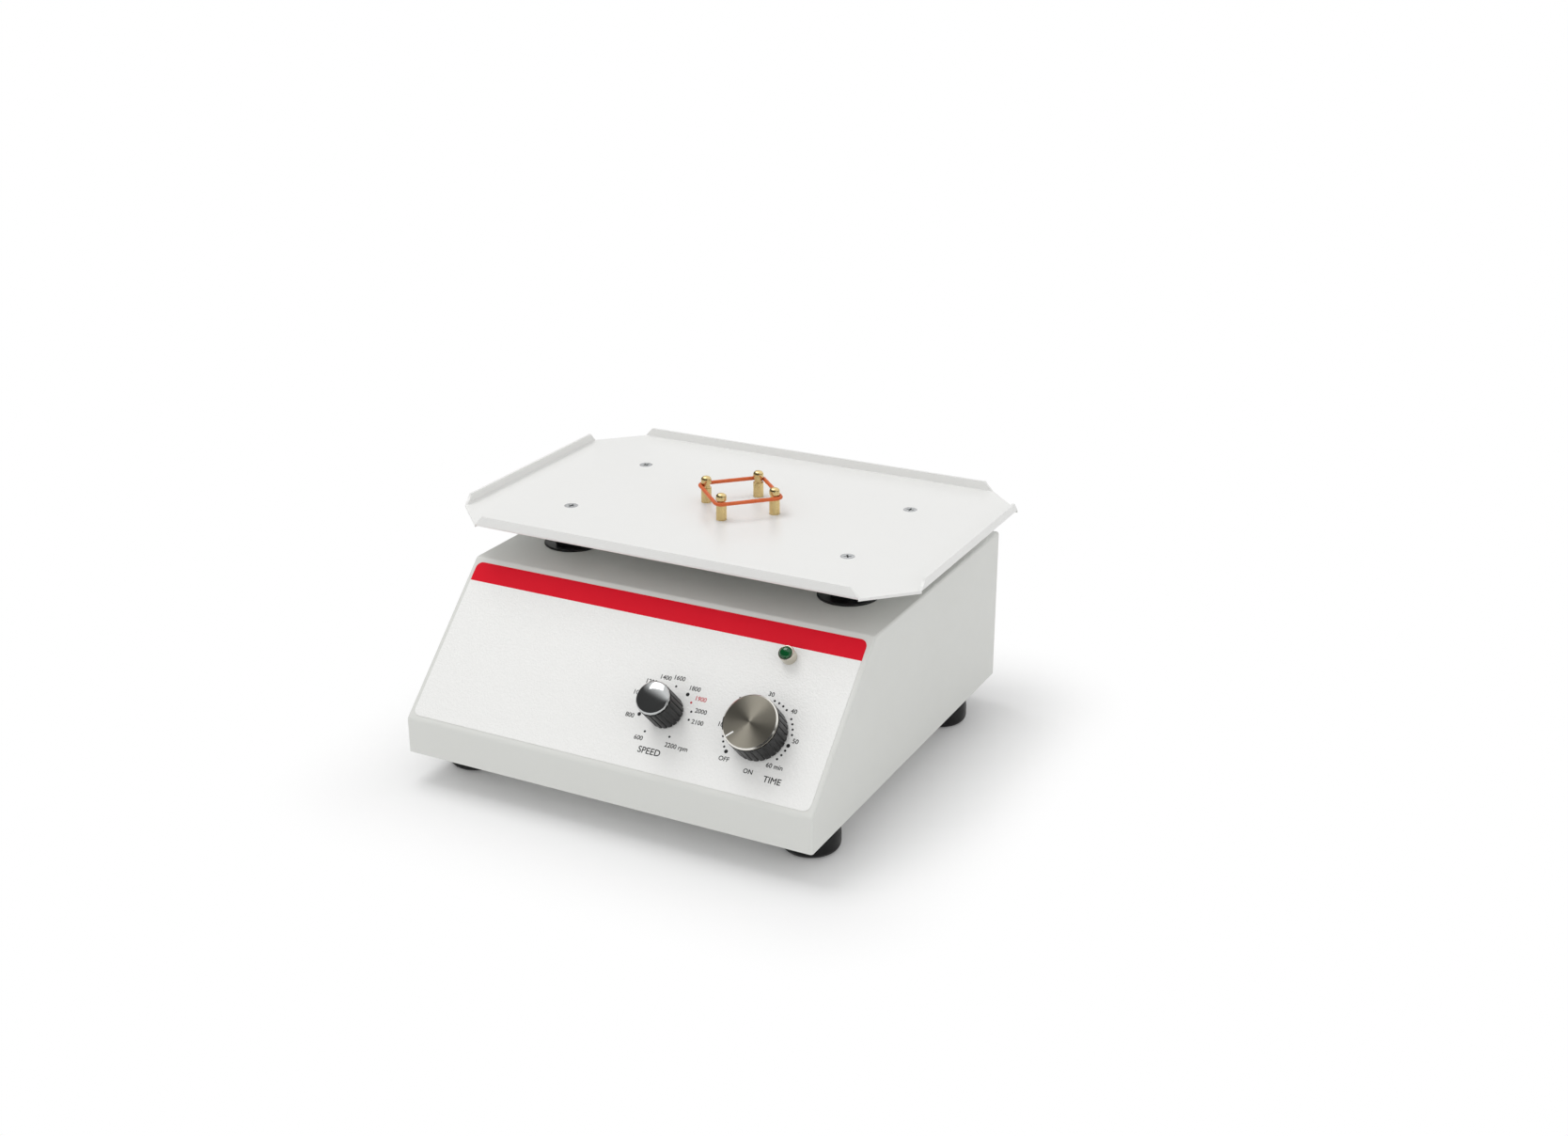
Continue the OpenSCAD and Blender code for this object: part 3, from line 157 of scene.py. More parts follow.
@dataclass(frozen=True)
class Finish:
    """A surface finish: what the real material is and how its surface was made.

    Sizes are in millimetres. `grain` and `height` are the width and depth of the relief, where turned
    rings stand 0.31 of `grain` apart. `shade` and `shade_size` are the soft variation of the colour, and
    `uneven` is how far the roughness wanders. `at` and `turn` centre and turn the pattern on its piece.
    """

    name: str
    colour: str
    roughness: float
    metallic: float = 0.0
    ior: float = 1.5
    coat: float = 0.0
    coat_roughness: float = 0.1
    anisotropic: float = 0.0
    transmission: float = 0.0
    subsurface: float = 0.0
    relief: Relief = Relief.SMOOTH
    grain: float = 1.0
    height: float = 0.01
    shade: float = 0.04
    shade_size: float = 25.0
    uneven: float = 0.05
    at: Point3 = (0.0, 0.0, 0.0)
    turn: Point3 = (0.0, 0.0, 0.0)

    def material(self) -> bpy.types.Material:
        """Makes the Blender material of this finish on first use.

        Returns:
            The material.
        """
        known = bpy.data.materials.get(self.name)
        if known:
            return known
        made = bpy.data.materials.new(self.name)
        made.use_nodes = True
        tree = made.node_tree
        tree.nodes.clear()
        where = self._place(tree)
        shader = add(tree, "ShaderNodeBsdfPrincipled", None, {
            "Base Color": self._colour(tree, where),
            "Roughness": self._roughness(tree, where),
            "Metallic": self.metallic,
            "Coat Weight": self.coat,
            "Coat Roughness": self.coat_roughness,
            "Anisotropic": self.anisotropic,
            "Anisotropic Rotation": ACROSS,
            "Transmission Weight": self.transmission,
            "Subsurface Weight": self.subsurface,
        })
        if not self.metallic:
            shader.inputs["IOR"].default_value = self.ior
        if self.subsurface:
            shader.inputs["Subsurface Scale"].default_value = SCATTER_DEPTH * MM
        if self.anisotropic:
            way = add(tree, "ShaderNodeTangent", {"direction_type": "UV_MAP", "uv_map": "around"})
            tree.links.new(way.outputs[0], shader.inputs["Tangent"])
        bump = self._relief(tree, where)
        if bump is not None:
            tree.links.new(bump, shader.inputs["Normal"])
        add(tree, "ShaderNodeOutputMaterial", None, {"Surface": shader.outputs[0]})
        return made

    def _place(self, tree: Tree) -> Socket:
        """Centres and turns Object coordinates on the piece.

        Args:
            tree: The material's nodes.

        Returns:
            The coordinates.
        """
        coord = add(tree, "ShaderNodeTexCoord")
        mapping = add(tree, "ShaderNodeMapping", {"vector_type": "TEXTURE"}, {
            "Vector": coord.outputs["Object"],
            "Location": tuple(v * MM for v in self.at),
            "Rotation": self.turn,
        })
        return mapping.outputs[0]

    def _colour(self, tree: Tree, where: Socket) -> Socket:
        """Varies the base colour softly, or by crystals where the surface is zinc.

        Args:
            tree: The material's nodes.
            where: Coordinates on the piece.

        Returns:
            The colour.
        """
        base = linear(self.colour)
        dark = tuple(c * (1 - self.shade) for c in base[:3]) + (1.0,)
        if self.relief is Relief.SPANGLE:
            cells = add(tree, "ShaderNodeTexVoronoi", None, {"Vector": where, "Scale": 1 / (self.grain * MM)})
            split = add(tree, "ShaderNodeSeparateColor", None, {"Color": cells.outputs["Color"]})
            factor = split.outputs[0]
        else:
            noise = add(tree, "ShaderNodeTexNoise", None, {
                "Vector": where, "Scale": 1 / (self.shade_size * MM), "Detail": 3.0})
            factor = noise.outputs[0]
        mix = add(tree, "ShaderNodeMix", {"data_type": "RGBA"}, {0: factor, 6: base, 7: dark})
        return mix.outputs[2]

    def _roughness(self, tree: Tree, where: Socket) -> Socket:
        """Gives the roughness the slight unevenness that handling and making leave.

        Args:
            tree: The material's nodes.
            where: Coordinates on the piece.

        Returns:
            The roughness.
        """
        noise = add(tree, "ShaderNodeTexNoise", None, {
            "Vector": where, "Scale": 1 / (PATCH_SIZE * MM), "Detail": 4.0})
        low, high = max(self.roughness - self.uneven, LEAST_ROUGHNESS), min(self.roughness + self.uneven, 1.0)
        spread = add(tree, "ShaderNodeMapRange", None, {
            0: noise.outputs[0], 1: NOISE_RANGE[0], 2: NOISE_RANGE[1], 3: low, 4: high})
        return spread.outputs[0]

    def _relief(self, tree: Tree, where: Socket) -> Socket | None:
        """Raises the fine relief.

        Args:
            tree: The material's nodes.
            where: Coordinates on the piece.

        Returns:
            The normal, or None for a smooth finish.
        """
        scale = 1 / (self.grain * MM)
        if self.relief is Relief.SMOOTH:
            return None
        if self.relief is Relief.TURNED:
            rings = add(tree, "ShaderNodeTexWave", {"wave_type": "RINGS", "rings_direction": "Z"}, {
                "Vector": where, "Scale": scale, "Distortion": 0.6, "Detail": 2.0, "Detail Scale": 1.5})
            height = rings.outputs[1]
        elif self.relief is Relief.PEBBLE:
            cells = add(tree, "ShaderNodeTexVoronoi", {"feature": "SMOOTH_F1"}, {
                "Vector": where, "Scale": scale, "Smoothness": 0.8, "Detail": 1.0})
            height = cells.outputs[0]
        else:
            finer = BRUSH_FINER if self.relief is Relief.BRUSHED else (1.0, 1.0, 1.0)
            fitted = add(tree, "ShaderNodeVectorMath", {"operation": "MULTIPLY"}, {0: where, 1: finer})
            noise = add(tree, "ShaderNodeTexNoise", None, {
                "Vector": fitted.outputs[0], "Scale": scale, "Detail": 2.0, "Roughness": 0.5})
            height = noise.outputs[0]
        bump = add(tree, "ShaderNodeBump", None, {
            "Height": height, "Distance": self.height * MM, "Strength": 1.0})
        return bump.outputs[0]


def on_panel(u: float, v: float, w: float = 0.0, turn: float = 0.0) -> Matrix:
    """Finds a place on the sloped control panel.

    Args:
        u: Millimetres right of the panel's middle.
        v: Millimetres up the slope from the lower fold.
        w: Millimetres out of the panel.
        turn: Radians, counterclockwise as seen from in front.

    Returns:
        Matrix from the place's own axes to the frame, in millimetres.
    """
    slope = Matrix.Translation(PANEL_ORIGIN) @ Matrix.Rotation(PANEL_TILT, 4, "X")
    return slope @ Matrix.Translation((u, v, w)) @ Matrix.Rotation(turn, 4, "Z")


def circle(radius: float, steps: int = ROUND) -> list[Point2]:
    """Returns the points of a circle, counterclockwise."""
    angles = [math.tau * i / steps for i in range(steps)]
    return [(radius * math.cos(a), radius * math.sin(a)) for a in angles]


def arc(centre: Point2, radius: float, first: float, last: float, steps: int) -> list[Point2]:
    """Returns the points of an arc between two angles in degrees."""
    angles = [math.radians(first + (last - first) * i / steps) for i in range(steps + 1)]
    return [(centre[0] + radius * math.cos(a), centre[1] + radius * math.sin(a)) for a in angles]


def quarter(steps: int) -> list[float]:
    """Returns the angles of a quarter turn in radians, without the last one."""
    return [math.radians(90 * i / steps) for i in range(steps)]


class Shape:
    """A mesh under construction, in millimetres."""

    def __init__(self) -> None:
        """Starts an empty mesh."""
        self.bm = bmesh.new()

    def _face(self, corners: Corners) -> None:
        """Adds a face, unless its corners fall together."""
        if len(set(corners)) > 2:
            self.bm.faces.new(corners)

    def turned(self, profile: Outline, at: Matrix = Matrix(), steps: int = ROUND,
               closed: bool = False) -> "Shape":
        """Adds a form turned about its Z axis.

        Args:
            profile: Radius and height of each point, in order.
            at: Place of the form.
            steps: Sides round the axis.
            closed: True where the profile is a ring's closed section.

        Returns:
            This shape.
        """
        rings = []
        for radius, height in profile:
            if radius < ON_AXIS:
                rings.append([self.bm.verts.new(at @ Vector((0, 0, height)))] * steps)
            else:
                rings.append([self.bm.verts.new(at @ Vector((x, y, height)))
                              for x, y in circle(radius, steps)])
        for low, high in list(zip(rings, rings[1:])) + ([(rings[-1], rings[0])] if closed else []):
            for i in range(steps):
                j = (i + 1) % steps
                self._face(list(dict.fromkeys([low[i], low[j], high[j], high[i]])))
        return self

    def plate(self, outer: Outline, height: float, at: Matrix,
              holes: Sequence[Outline] = ()) -> list[list[bmesh.types.BMVert]]:
        """Adds one flat face, with holes.

        Args:
            outer: Outline of the face.
            height: Its Z.
            at: Place of the form.
            holes: Outlines of the holes.

        Returns:
            The corners of each outline.
        """
        loops = [list(outer), *map(list, holes)]
        corners = [[self.bm.verts.new(at @ Vector((x, y, height))) for x, y in loop] for loop in loops]
        flat = [c for loop in corners for c in loop]
        for tri in tessellate_polygon([[Vector((x, y, 0)) for x, y in loop] for loop in loops]):
            self._face([flat[i] for i in tri])
        return corners

    def wall(self, low: Corners, high: Corners) -> None:
        """Adds the faces between two outlines.

        Args:
            low: Corners of the one.
            high: Corners of the other, as many.
        """
        for i in range(len(low)):
            j = (i + 1) % len(low)
            self._face([low[i], low[j], high[j], high[i]])

    def prism(self, outer: Outline, low: float, high: float, at: Matrix = Matrix(),
              holes: Sequence[Outline] = (), top_scale: float = 1.0, bevel: float = 0.0) -> "Shape":
        """Adds an upright form from an outline.

        Args:
            outer: Outline.
            low: Z of the lower face.
            high: Z of the upper face.
            at: Place of the form.
            holes: Outlines of through holes.
            top_scale: Size of the upper outline against the lower one.
            bevel: Height over which the outer outline runs in to top_scale.

        Returns:
            This shape.
        """
        small = [(x * top_scale, y * top_scale) for x, y in outer]
        below = self.plate(outer, low, at, holes)
        above = self.plate(small, high, at, holes)
        rim = below[0]
        if bevel:
            middle = [self.bm.verts.new(at @ Vector((x, y, high - bevel))) for x, y in outer]
            self.wall(rim, middle)
            rim = middle
        self.wall(rim, above[0])
        for a, b in zip(below[1:], above[1:]):
            self.wall(a, b)
        return self

    def joined(self, mesh: bpy.types.Mesh, at: Matrix = Matrix()) -> "Shape":
        """Adds a ready mesh in the piece's first finish, and frees it.

        Args:
            mesh: The mesh, in millimetres.
            at: Its place.

        Returns:
            This shape.
        """
        mesh.transform(at)
        known = len(self.bm.faces)
        self.bm.from_mesh(mesh)
        self.bm.faces.ensure_lookup_table()
        for face in self.bm.faces[known:]:
            face.material_index = 0
        bpy.data.meshes.remove(mesh)
        return self

    def cad(self, node: str) -> "Shape":
        """Args:
            node: Name of the node.

        Returns:
            This shape.
        """
        copy = frame["nodes"][node].data.copy()
        copy.transform(Matrix.Scale(1 / MM, 4))
        self.joined(copy)
        bmesh.ops.remove_doubles(self.bm, verts=self.bm.verts, dist=WELD)
        bmesh.ops.dissolve_limit(
            self.bm, angle_limit=math.radians(FLAT_WITHIN), verts=self.bm.verts, edges=self.bm.edges)
        return self

    def mesh(self, name: str, scale: float = 1.0, outwards: bool = True) -> bpy.types.Mesh:
        """Ends the drawing and frees it.

        Args:
            name: Name of the mesh.
            scale: Size of the mesh against the drawing.
            outwards: True to turn every face outwards.

        Returns:
            The drawn mesh.
        """
        if outwards:
            bmesh.ops.recalc_face_normals(self.bm, faces=self.bm.faces)
        made = bpy.data.meshes.new(name)
        self.bm.to_mesh(made)
        self.bm.free()
        made.transform(Matrix.Scale(scale, 4))
        return made


def settled(obj: bpy.types.Object, name: str) -> bpy.types.Mesh:
    """Works out an object's modifiers.

    Args:
        obj: The object, which stays as it is.
        name: Name of the new mesh.

    Returns:
        A plain mesh.
    """
    graph = bpy.context.evaluated_depsgraph_get()
    graph.update()
    made = bpy.data.meshes.new_from_object(
        obj.evaluated_get(graph), preserve_all_data_layers=True, depsgraph=graph)
    made.name = name
    return made


@dataclass
class Piece:
    """What a finished piece is called, rides on, stands for and is painted with.

    `smooth_below` is the angle in degrees up to which its edges are shaded smooth.
    """

    name: str
    body: str
    finishes: Sequence[Finish]
    slot: str
    replaces: Sequence[str] = ()
    smooth_below: float = 34.0

    def make(self, shape: Shape, outwards: bool = True) -> bpy.types.Object:
        """Turns a shape into the piece.

        Args:
            shape: The form, in millimetres.
            outwards: True to turn every face outwards.

        Returns:
            The finished object, at the origin.
        """
        mesh = shape.mesh(self.name, MM, outwards)
        obj = bpy.data.objects.new(self.name, mesh)
        bpy.context.scene.collection.objects.link(obj)
        for finish in self.finishes:
            mesh.materials.append(finish.material())
        mesh.shade_smooth()
        mesh.set_sharp_from_angle(angle=math.radians(self.smooth_below))
        flats = obj.modifiers.new("flats", "WEIGHTED_NORMAL")
        flats.keep_sharp = True
        obj.data = settled(obj, self.name)
        obj.modifiers.clear()
        bpy.data.meshes.remove(mesh)
        obj.data.name = self.name
        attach(obj, self.body)
        if self.replaces:
            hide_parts(*self.replaces)
        LOG.info("%s: %d faces on %s", self.name, len(obj.data.polygons), self.body)
        return obj


class NodeShape:
    """A Geometry Nodes tree with named inputs, run once on a carrier mesh."""

    def __init__(self, name: str, inputs: dict[str, str]) -> None:
        """Starts the tree.

        Args:
            name: Name of the tree.
            inputs: For each input after the carrier, its name and socket type.
        """
        self.tree = bpy.data.node_groups.new(name, "GeometryNodeTree")
        face = self.tree.interface
        face.new_socket("Carrier", in_out="INPUT", socket_type="NodeSocketGeometry")
        for label, kind in inputs.items():
            face.new_socket(label, in_out="INPUT", socket_type=kind)
        face.new_socket("Mesh", in_out="OUTPUT", socket_type="NodeSocketGeometry")
        self.start = self.tree.nodes.new("NodeGroupInput")

    def value(self, label: str) -> Socket:
        """Returns the socket of a named input."""
        return self.start.outputs[label]

    def close(self, geometry: Socket) -> "NodeShape":
        """Ends the tree in Realize Instances and Set Material.

        Args:
            geometry: What the tree has made.

        Returns:
            This tree.
        """
        real = add(self.tree, "GeometryNodeRealizeInstances", None, {"Geometry": geometry})
        dressed = add(self.tree, "GeometryNodeSetMaterial", None, {
            "Geometry": real.outputs[0], "Material": self.value("Finish")})
        add(self.tree, "NodeGroupOutput", None, {"Mesh": dressed.outputs[0]})
        return self

    def run(self, carrier: bpy.types.Mesh, values: dict[str, Any]) -> bpy.types.Mesh:
        """Runs the tree on a carrier mesh.

        Args:
            carrier: Mesh that the tree starts from.
            values: Value of each named input.

        Returns:
            The plain mesh that it makes.
        """
        obj = bpy.data.objects.new("carrier", carrier)
        bpy.context.scene.collection.objects.link(obj)
        step = obj.modifiers.new("nodes", "NODES")
        step.node_group = self.tree
        for item in self.tree.interface.items_tree:
            if item.in_out == "INPUT" and item.name in values:
                step[item.identifier] = values[item.name]
        made = settled(obj, "made")
        bpy.data.objects.remove(obj)
        bpy.data.meshes.remove(carrier)
        return made


def repeat_tree() -> NodeShape:
    """Builds the tree that stands a copy of one piece on every point of its carrier.

    Returns:
        The tree.
    """
    shape = NodeShape("repeat_on_points", {
        "Piece": "NodeSocketObject", "Turn": "NodeSocketFloat", "Finish": "NodeSocketMaterial"})
    tree = shape.tree
    piece = add(tree, "GeometryNodeObjectInfo", None, {"Object": shape.value("Piece")})
    index = add(tree, "GeometryNodeInputIndex")
    angle = add(tree, "ShaderNodeMath", {"operation": "MULTIPLY"}, {
        0: index.outputs[0], 1: shape.value("Turn")})
    spin = add(tree, "ShaderNodeCombineXYZ", None, {"Z": angle.outputs[0]})
    copies = add(tree, "GeometryNodeInstanceOnPoints", None, {
        "Points": shape.value("Carrier"), "Instance": piece.outputs["Geometry"], "Rotation": spin.outputs[0]})
    return shape.close(copies.outputs[0])


def ring_tree() -> NodeShape:
    """Builds the tree that stands copies of one piece round a circle, each turned to face out.

    Returns:
        The tree.
    """
    shape = NodeShape("ring_of_pieces", {
        "Piece": "NodeSocketObject", "Count": "NodeSocketInt", "Radius": "NodeSocketFloat",
        "Finish": "NodeSocketMaterial"})
    tree = shape.tree
    piece = add(tree, "GeometryNodeObjectInfo", None, {"Object": shape.value("Piece")})
    ring = add(tree, "GeometryNodeMeshCircle", {"fill_type": "NONE"}, {
        "Vertices": shape.value("Count"), "Radius": shape.value("Radius")})
    index = add(tree, "GeometryNodeInputIndex")
    step = add(tree, "ShaderNodeMath", {"operation": "DIVIDE"}, {0: math.tau, 1: shape.value("Count")})
    angle = add(tree, "ShaderNodeMath", {"operation": "MULTIPLY"}, {0: index.outputs[0], 1: step.outputs[0]})
    spin = add(tree, "ShaderNodeCombineXYZ", None, {"Z": angle.outputs[0]})
    copies = add(tree, "GeometryNodeInstanceOnPoints", None, {
        "Points": ring.outputs[0], "Instance": piece.outputs["Geometry"], "Rotation": spin.outputs[0]})
    return shape.close(copies.outputs[0])


def cord_tree() -> NodeShape:
    """Builds the tree that sweeps a closed cord along its carrier, a little uneven in thickness.

    Its noise turns over every 2 mm, and one half is its middle value.

    Returns:
        The tree.
    """
    shape = NodeShape("closed_cord", {
        "Radius": "NodeSocketFloat", "Sides": "NodeSocketInt", "Unevenness": "NodeSocketFloat",
        "Finish": "NodeSocketMaterial"})
    tree = shape.tree
    line = add(tree, "GeometryNodeMeshToCurve", None, {"Mesh": shape.value("Carrier")})
    noise = add(tree, "ShaderNodeTexNoise", {"noise_dimensions": "3D"}, {"Scale": 0.5, "Detail": 3.0})
    centred = add(tree, "ShaderNodeMath", {"operation": "SUBTRACT"}, {0: noise.outputs[0], 1: 0.5})
    change = add(tree, "ShaderNodeMath", {"operation": "MULTIPLY_ADD"}, {
        0: centred.outputs[0], 1: shape.value("Unevenness"), 2: 1.0})
    thick = add(tree, "GeometryNodeSetCurveRadius", None, {
        "Curve": line.outputs[0], "Radius": change.outputs[0]})
    section = add(tree, "GeometryNodeCurvePrimitiveCircle", None, {
        "Resolution": shape.value("Sides"), "Radius": shape.value("Radius")})
    swept = add(tree, "GeometryNodeCurveToMesh", None, {
        "Curve": thick.outputs[0], "Profile Curve": section.outputs[0], "Scale": change.outputs[0]})
    return shape.close(swept.outputs[0])


@dataclass
class Repeats:
    """The three Geometry Nodes trees, built once."""

    on_points: NodeShape = field(default_factory=repeat_tree)
    in_ring: NodeShape = field(default_factory=ring_tree)
    cord: NodeShape = field(default_factory=cord_tree)

    def _run(self, tree: NodeShape, piece: Shape, carrier: bpy.types.Mesh,
             values: dict[str, Any]) -> bpy.types.Mesh:
        """Runs a tree that repeats a piece.

        Args:
            tree: The tree.
            piece: The form to repeat.
            carrier: Mesh that the tree starts from.
            values: Value of each other input.

        Returns:
            The plain mesh.
        """
        holder = bpy.data.objects.new("repeated", piece.mesh("repeated"))
        bpy.context.scene.collection.objects.link(holder)
        made = tree.run(carrier, {"Piece": holder, **values})
        bpy.data.objects.remove(holder)
        return made

    def points(self, piece: Shape, places: Iterable[Sequence[float]], finish: Finish,
               turn: float = 0.0) -> bpy.types.Mesh:
        """Stands a copy of a piece at each place.

        Args:
            piece: The form to repeat, about its own origin.
            places: Where the copies stand, in millimetres.
            finish: Their finish.
            turn: Radians that each copy is turned further than the one before.

        Returns:
            The plain mesh.
        """
        carrier = bpy.data.meshes.new("places")
        carrier.from_pydata([tuple(p) for p in places], [], [])
        return self._run(self.on_points, piece, carrier, {"Turn": turn, "Finish": finish.material()})

    def ring(self, piece: Shape, count: int, radius: float, finish: Finish) -> bpy.types.Mesh:
        """Stands copies of a piece round a circle.

        Args:
            piece: The form to repeat, facing along +X.
            count: How many copies.
            radius: Radius of the circle, in millimetres.
            finish: Their finish.

        Returns:
            The plain mesh.
        """
        return self._run(self.in_ring, piece, bpy.data.meshes.new("none"), {
            "Count": count, "Radius": radius, "Finish": finish.material()})

    def closed_cord(self, path: Sequence[Vector], radius: float, sides: int, unevenness: float,
                    finish: Finish) -> bpy.types.Mesh:
        """Sweeps a cord along a closed path.

        Args:
            path: Points of the path, in millimetres.
            radius: Radius of the cord.
            sides: Sides of its section.
            unevenness: Share by which its thickness wanders.
            finish: Its finish.

        Returns:
            The plain mesh.
        """
        carrier = bpy.data.meshes.new("path")
        count = len(path)
        carrier.from_pydata([tuple(p) for p in path], [(i, (i + 1) % count) for i in range(count)], [])
        return self.cord.run(carrier, {
            "Radius": radius, "Sides": sides, "Unevenness": unevenness, "Finish": finish.material()})


# White powder coat on sheet steel: satin, with the faint orange peel of a baked powder
POWDER_COAT = Finish("powder_coated_steel", "DEDFDB", 0.45, relief=Relief.PEEL, grain=1.4, height=0.018,
                     shade=0.02, shade_size=60)
# Stoved enamel on the tray: a cleaner white with a closer, shinier skin
TRAY_ENAMEL = Finish("white_stoved_enamel", "ECECEA", 0.34, coat=0.15, coat_roughness=0.25,
                     relief=Relief.PEEL, grain=3.0, height=0.008, shade=0.015, shade_size=80)
# Embossed polycarbonate film: a pebble of about a millimetre in its relief. Its sparkle is partly that relief
# and partly painted: a fine speckle in its colour, up to 6 percent darker, stands in for glints
PANEL_FILM = Finish("embossed_film_white", "F5F5F3", 0.42, relief=Relief.PEBBLE, grain=1.05, height=0.15,
                    shade=0.06, shade_size=1.5)
# The stripe, printed in red behind the same film: deep red, in which the pebble barely shows
STRIPE_FILM = Finish("embossed_film_red", "E00A26", 0.5, ior=1.25, relief=Relief.PEBBLE, grain=1.15,
                     height=0.03, shade=0.05, shade_size=12)
# Screen printing ink on the film, black and red: dead flat
PRINT_BLACK = Finish("printing_ink_black", "1B1B1D", 0.55, relief=Relief.GRAIN, grain=0.3, height=0.002)
PRINT_RED = Finish("printing_ink_red", "C8142A", 0.55, relief=Relief.GRAIN, grain=0.3, height=0.002)
# White paint filled into the timer's pointer line: dull against the metal
PRINT_WHITE = Finish("filled_line_white", "F2F2F0", 0.5, relief=Relief.GRAIN, grain=0.3, height=0.002)
# Bright zinc plating on the screws: small crystals that catch the light one by one
ZINC = Finish("bright_zinc_steel", "C6C8C9", 0.26, metallic=1.0, relief=Relief.SPANGLE, grain=0.7,
              shade=0.22, uneven=0.08)
# Moulded rubber: black, still a little glossy from the mould
RUBBER = Finish("moulded_rubber_black", "0A0A0B", 0.4, ior=1.38, relief=Relief.GRAIN, grain=1.2,
                shade=0.2, shade_size=6, uneven=0.07)
# Injection moulded nylon: black with a satin skin
NYLON = Finish("moulded_nylon_black", "121213", 0.34, relief=Relief.GRAIN, grain=0.5, height=0.006,
               shade=0.15, shade_size=9)
# Moulded ABS of the knobs' skirts and the fuse drawer: black with an even gloss
KNOB_BLACK = Finish("moulded_abs_black", "0A0A0B", 0.33, ior=1.42, relief=Relief.GRAIN, grain=0.25,
                    height=0.004, shade=0.15, shade_size=5)
# Vacuum-plated cap under clear lacquer: a mirror, dark where it shows the dim room
MIRROR_CAP = Finish("dark_plated_cap", "C6C8C8", 0.12, metallic=1.0, shade=0.1, shade_size=5, uneven=0.02)
# The chamfer round the timer's face, cut with a diamond: a bright rim
BRIGHT_EDGE = Finish("bright_cut_aluminium", "E8E6E0", 0.14, metallic=1.0, shade=0.05, shade_size=3,
                     uneven=0.03)
# Natural brass, turned and lightly tarnished: warm yellow in soft patches
BRASS = Finish("turned_brass", "F0D69A", 0.3, metallic=1.0, relief=Relief.BRUSHED, grain=2.0, height=0.002,
               shade=0.25, shade_size=2.5, uneven=0.08)
# Smooth extruded elastic: matt and a little waxy, with small nicks from handling
ELASTIC = Finish("extruded_elastic_orange", "DE6A35", 0.5, ior=1.45, subsurface=0.12, relief=Relief.GRAIN,
                 grain=0.9, height=0.04, shade=0.2, shade_size=1.6, uneven=0.12)
# Bright nickel on the lamp's ring, the nuts and the inlet's pins: a clean shine, a little warm
NICKEL = Finish("bright_nickel", "D8D2C4", 0.16, metallic=1.0, relief=Relief.BRUSHED, grain=1.2,
                height=0.001, shade=0.1, shade_size=2)
# Clear green acrylic lens: deep colour under a small sharp highlight
LENS_GREEN = Finish("clear_green_lens", "0B6B35", 0.06, ior=1.49, transmission=0.35, coat=0.4,
                    coat_roughness=0.03, shade=0.25, shade_size=1.6, uneven=0.02)
# Cast aluminium: dull grey with a sandy grain
CAST_ALUMINIUM = Finish("cast_aluminium_grey", "A9ABAC", 0.45, metallic=1.0, relief=Relief.GRAIN,
                        grain=0.9, height=0.02)
# Turned steel: a cool shine with fine lines
TURNED_STEEL = Finish("turned_bright_steel", "9EA1A4", 0.25, metallic=1.0, relief=Relief.BRUSHED,
                      height=0.002)
# Ground bearing steel: close to a mirror
BEARING_STEEL = Finish("ground_bearing_steel", "B4B6B8", 0.12, metallic=1.0, shade=0.1, shade_size=4)
# Grey paint on pressed steel: satin, with a slight orange peel
MOTOR_STEEL = Finish("grey_painted_steel", "6E7276", 0.4, relief=Relief.PEEL)
# Galvanised sheet: flakes of a few millimetres, lighter and darker
ZINC_SHEET = Finish("galvanised_sheet", "AEB2B4", 0.38, metallic=1.0, relief=Relief.SPANGLE, grain=4.0,
                    shade=0.2)
# Enamelled copper wire, wound close: reddish brown with fine ridges
COPPER = Finish("enamelled_copper_wire", "9A4A22", 0.32, metallic=1.0, relief=Relief.BRUSHED, grain=0.5,
                height=0.05, shade=0.2, shade_size=2)
# Varnished steel laminations: dark grey in fine layers
LAMINATIONS = Finish("varnished_laminations", "4A4B4E", 0.5, metallic=1.0, relief=Relief.BRUSHED,
                     grain=0.5, height=0.03)
# Solder mask on a circuit board: green, half glossy
CIRCUIT_BOARD = Finish("green_circuit_board", "1E5A33", 0.35, relief=Relief.GRAIN, grain=0.6)
# Moulded bodies of electronic components: dull black
COMPONENTS = Finish("moulded_component_black", "202226", 0.4, relief=Relief.GRAIN, grain=0.4)
# Natural nylon: cream and a little cloudy
SPACER_NYLON = Finish("natural_nylon", "D8D4C6", 0.4, relief=Relief.GRAIN, grain=0.5, subsurface=0.1)


def spun_aluminium(at: Vector) -> Finish:
    """Gives the finish of the timer's face, spun and lacquered: light runs out in bright and dark wedges.

    Args:
        at: Middle of the face, in millimetres.

    Returns:
        The finish.
    """
    return Finish("spun_lacquered_aluminium", "A09B8F", 0.42, metallic=1.0, anisotropic=0.9,
                  relief=Relief.TURNED, grain=0.5, height=0.0008, shade=0.06, shade_size=6, uneven=0.03,
                  at=tuple(at), turn=(PANEL_TILT, 0.0, 0.0))


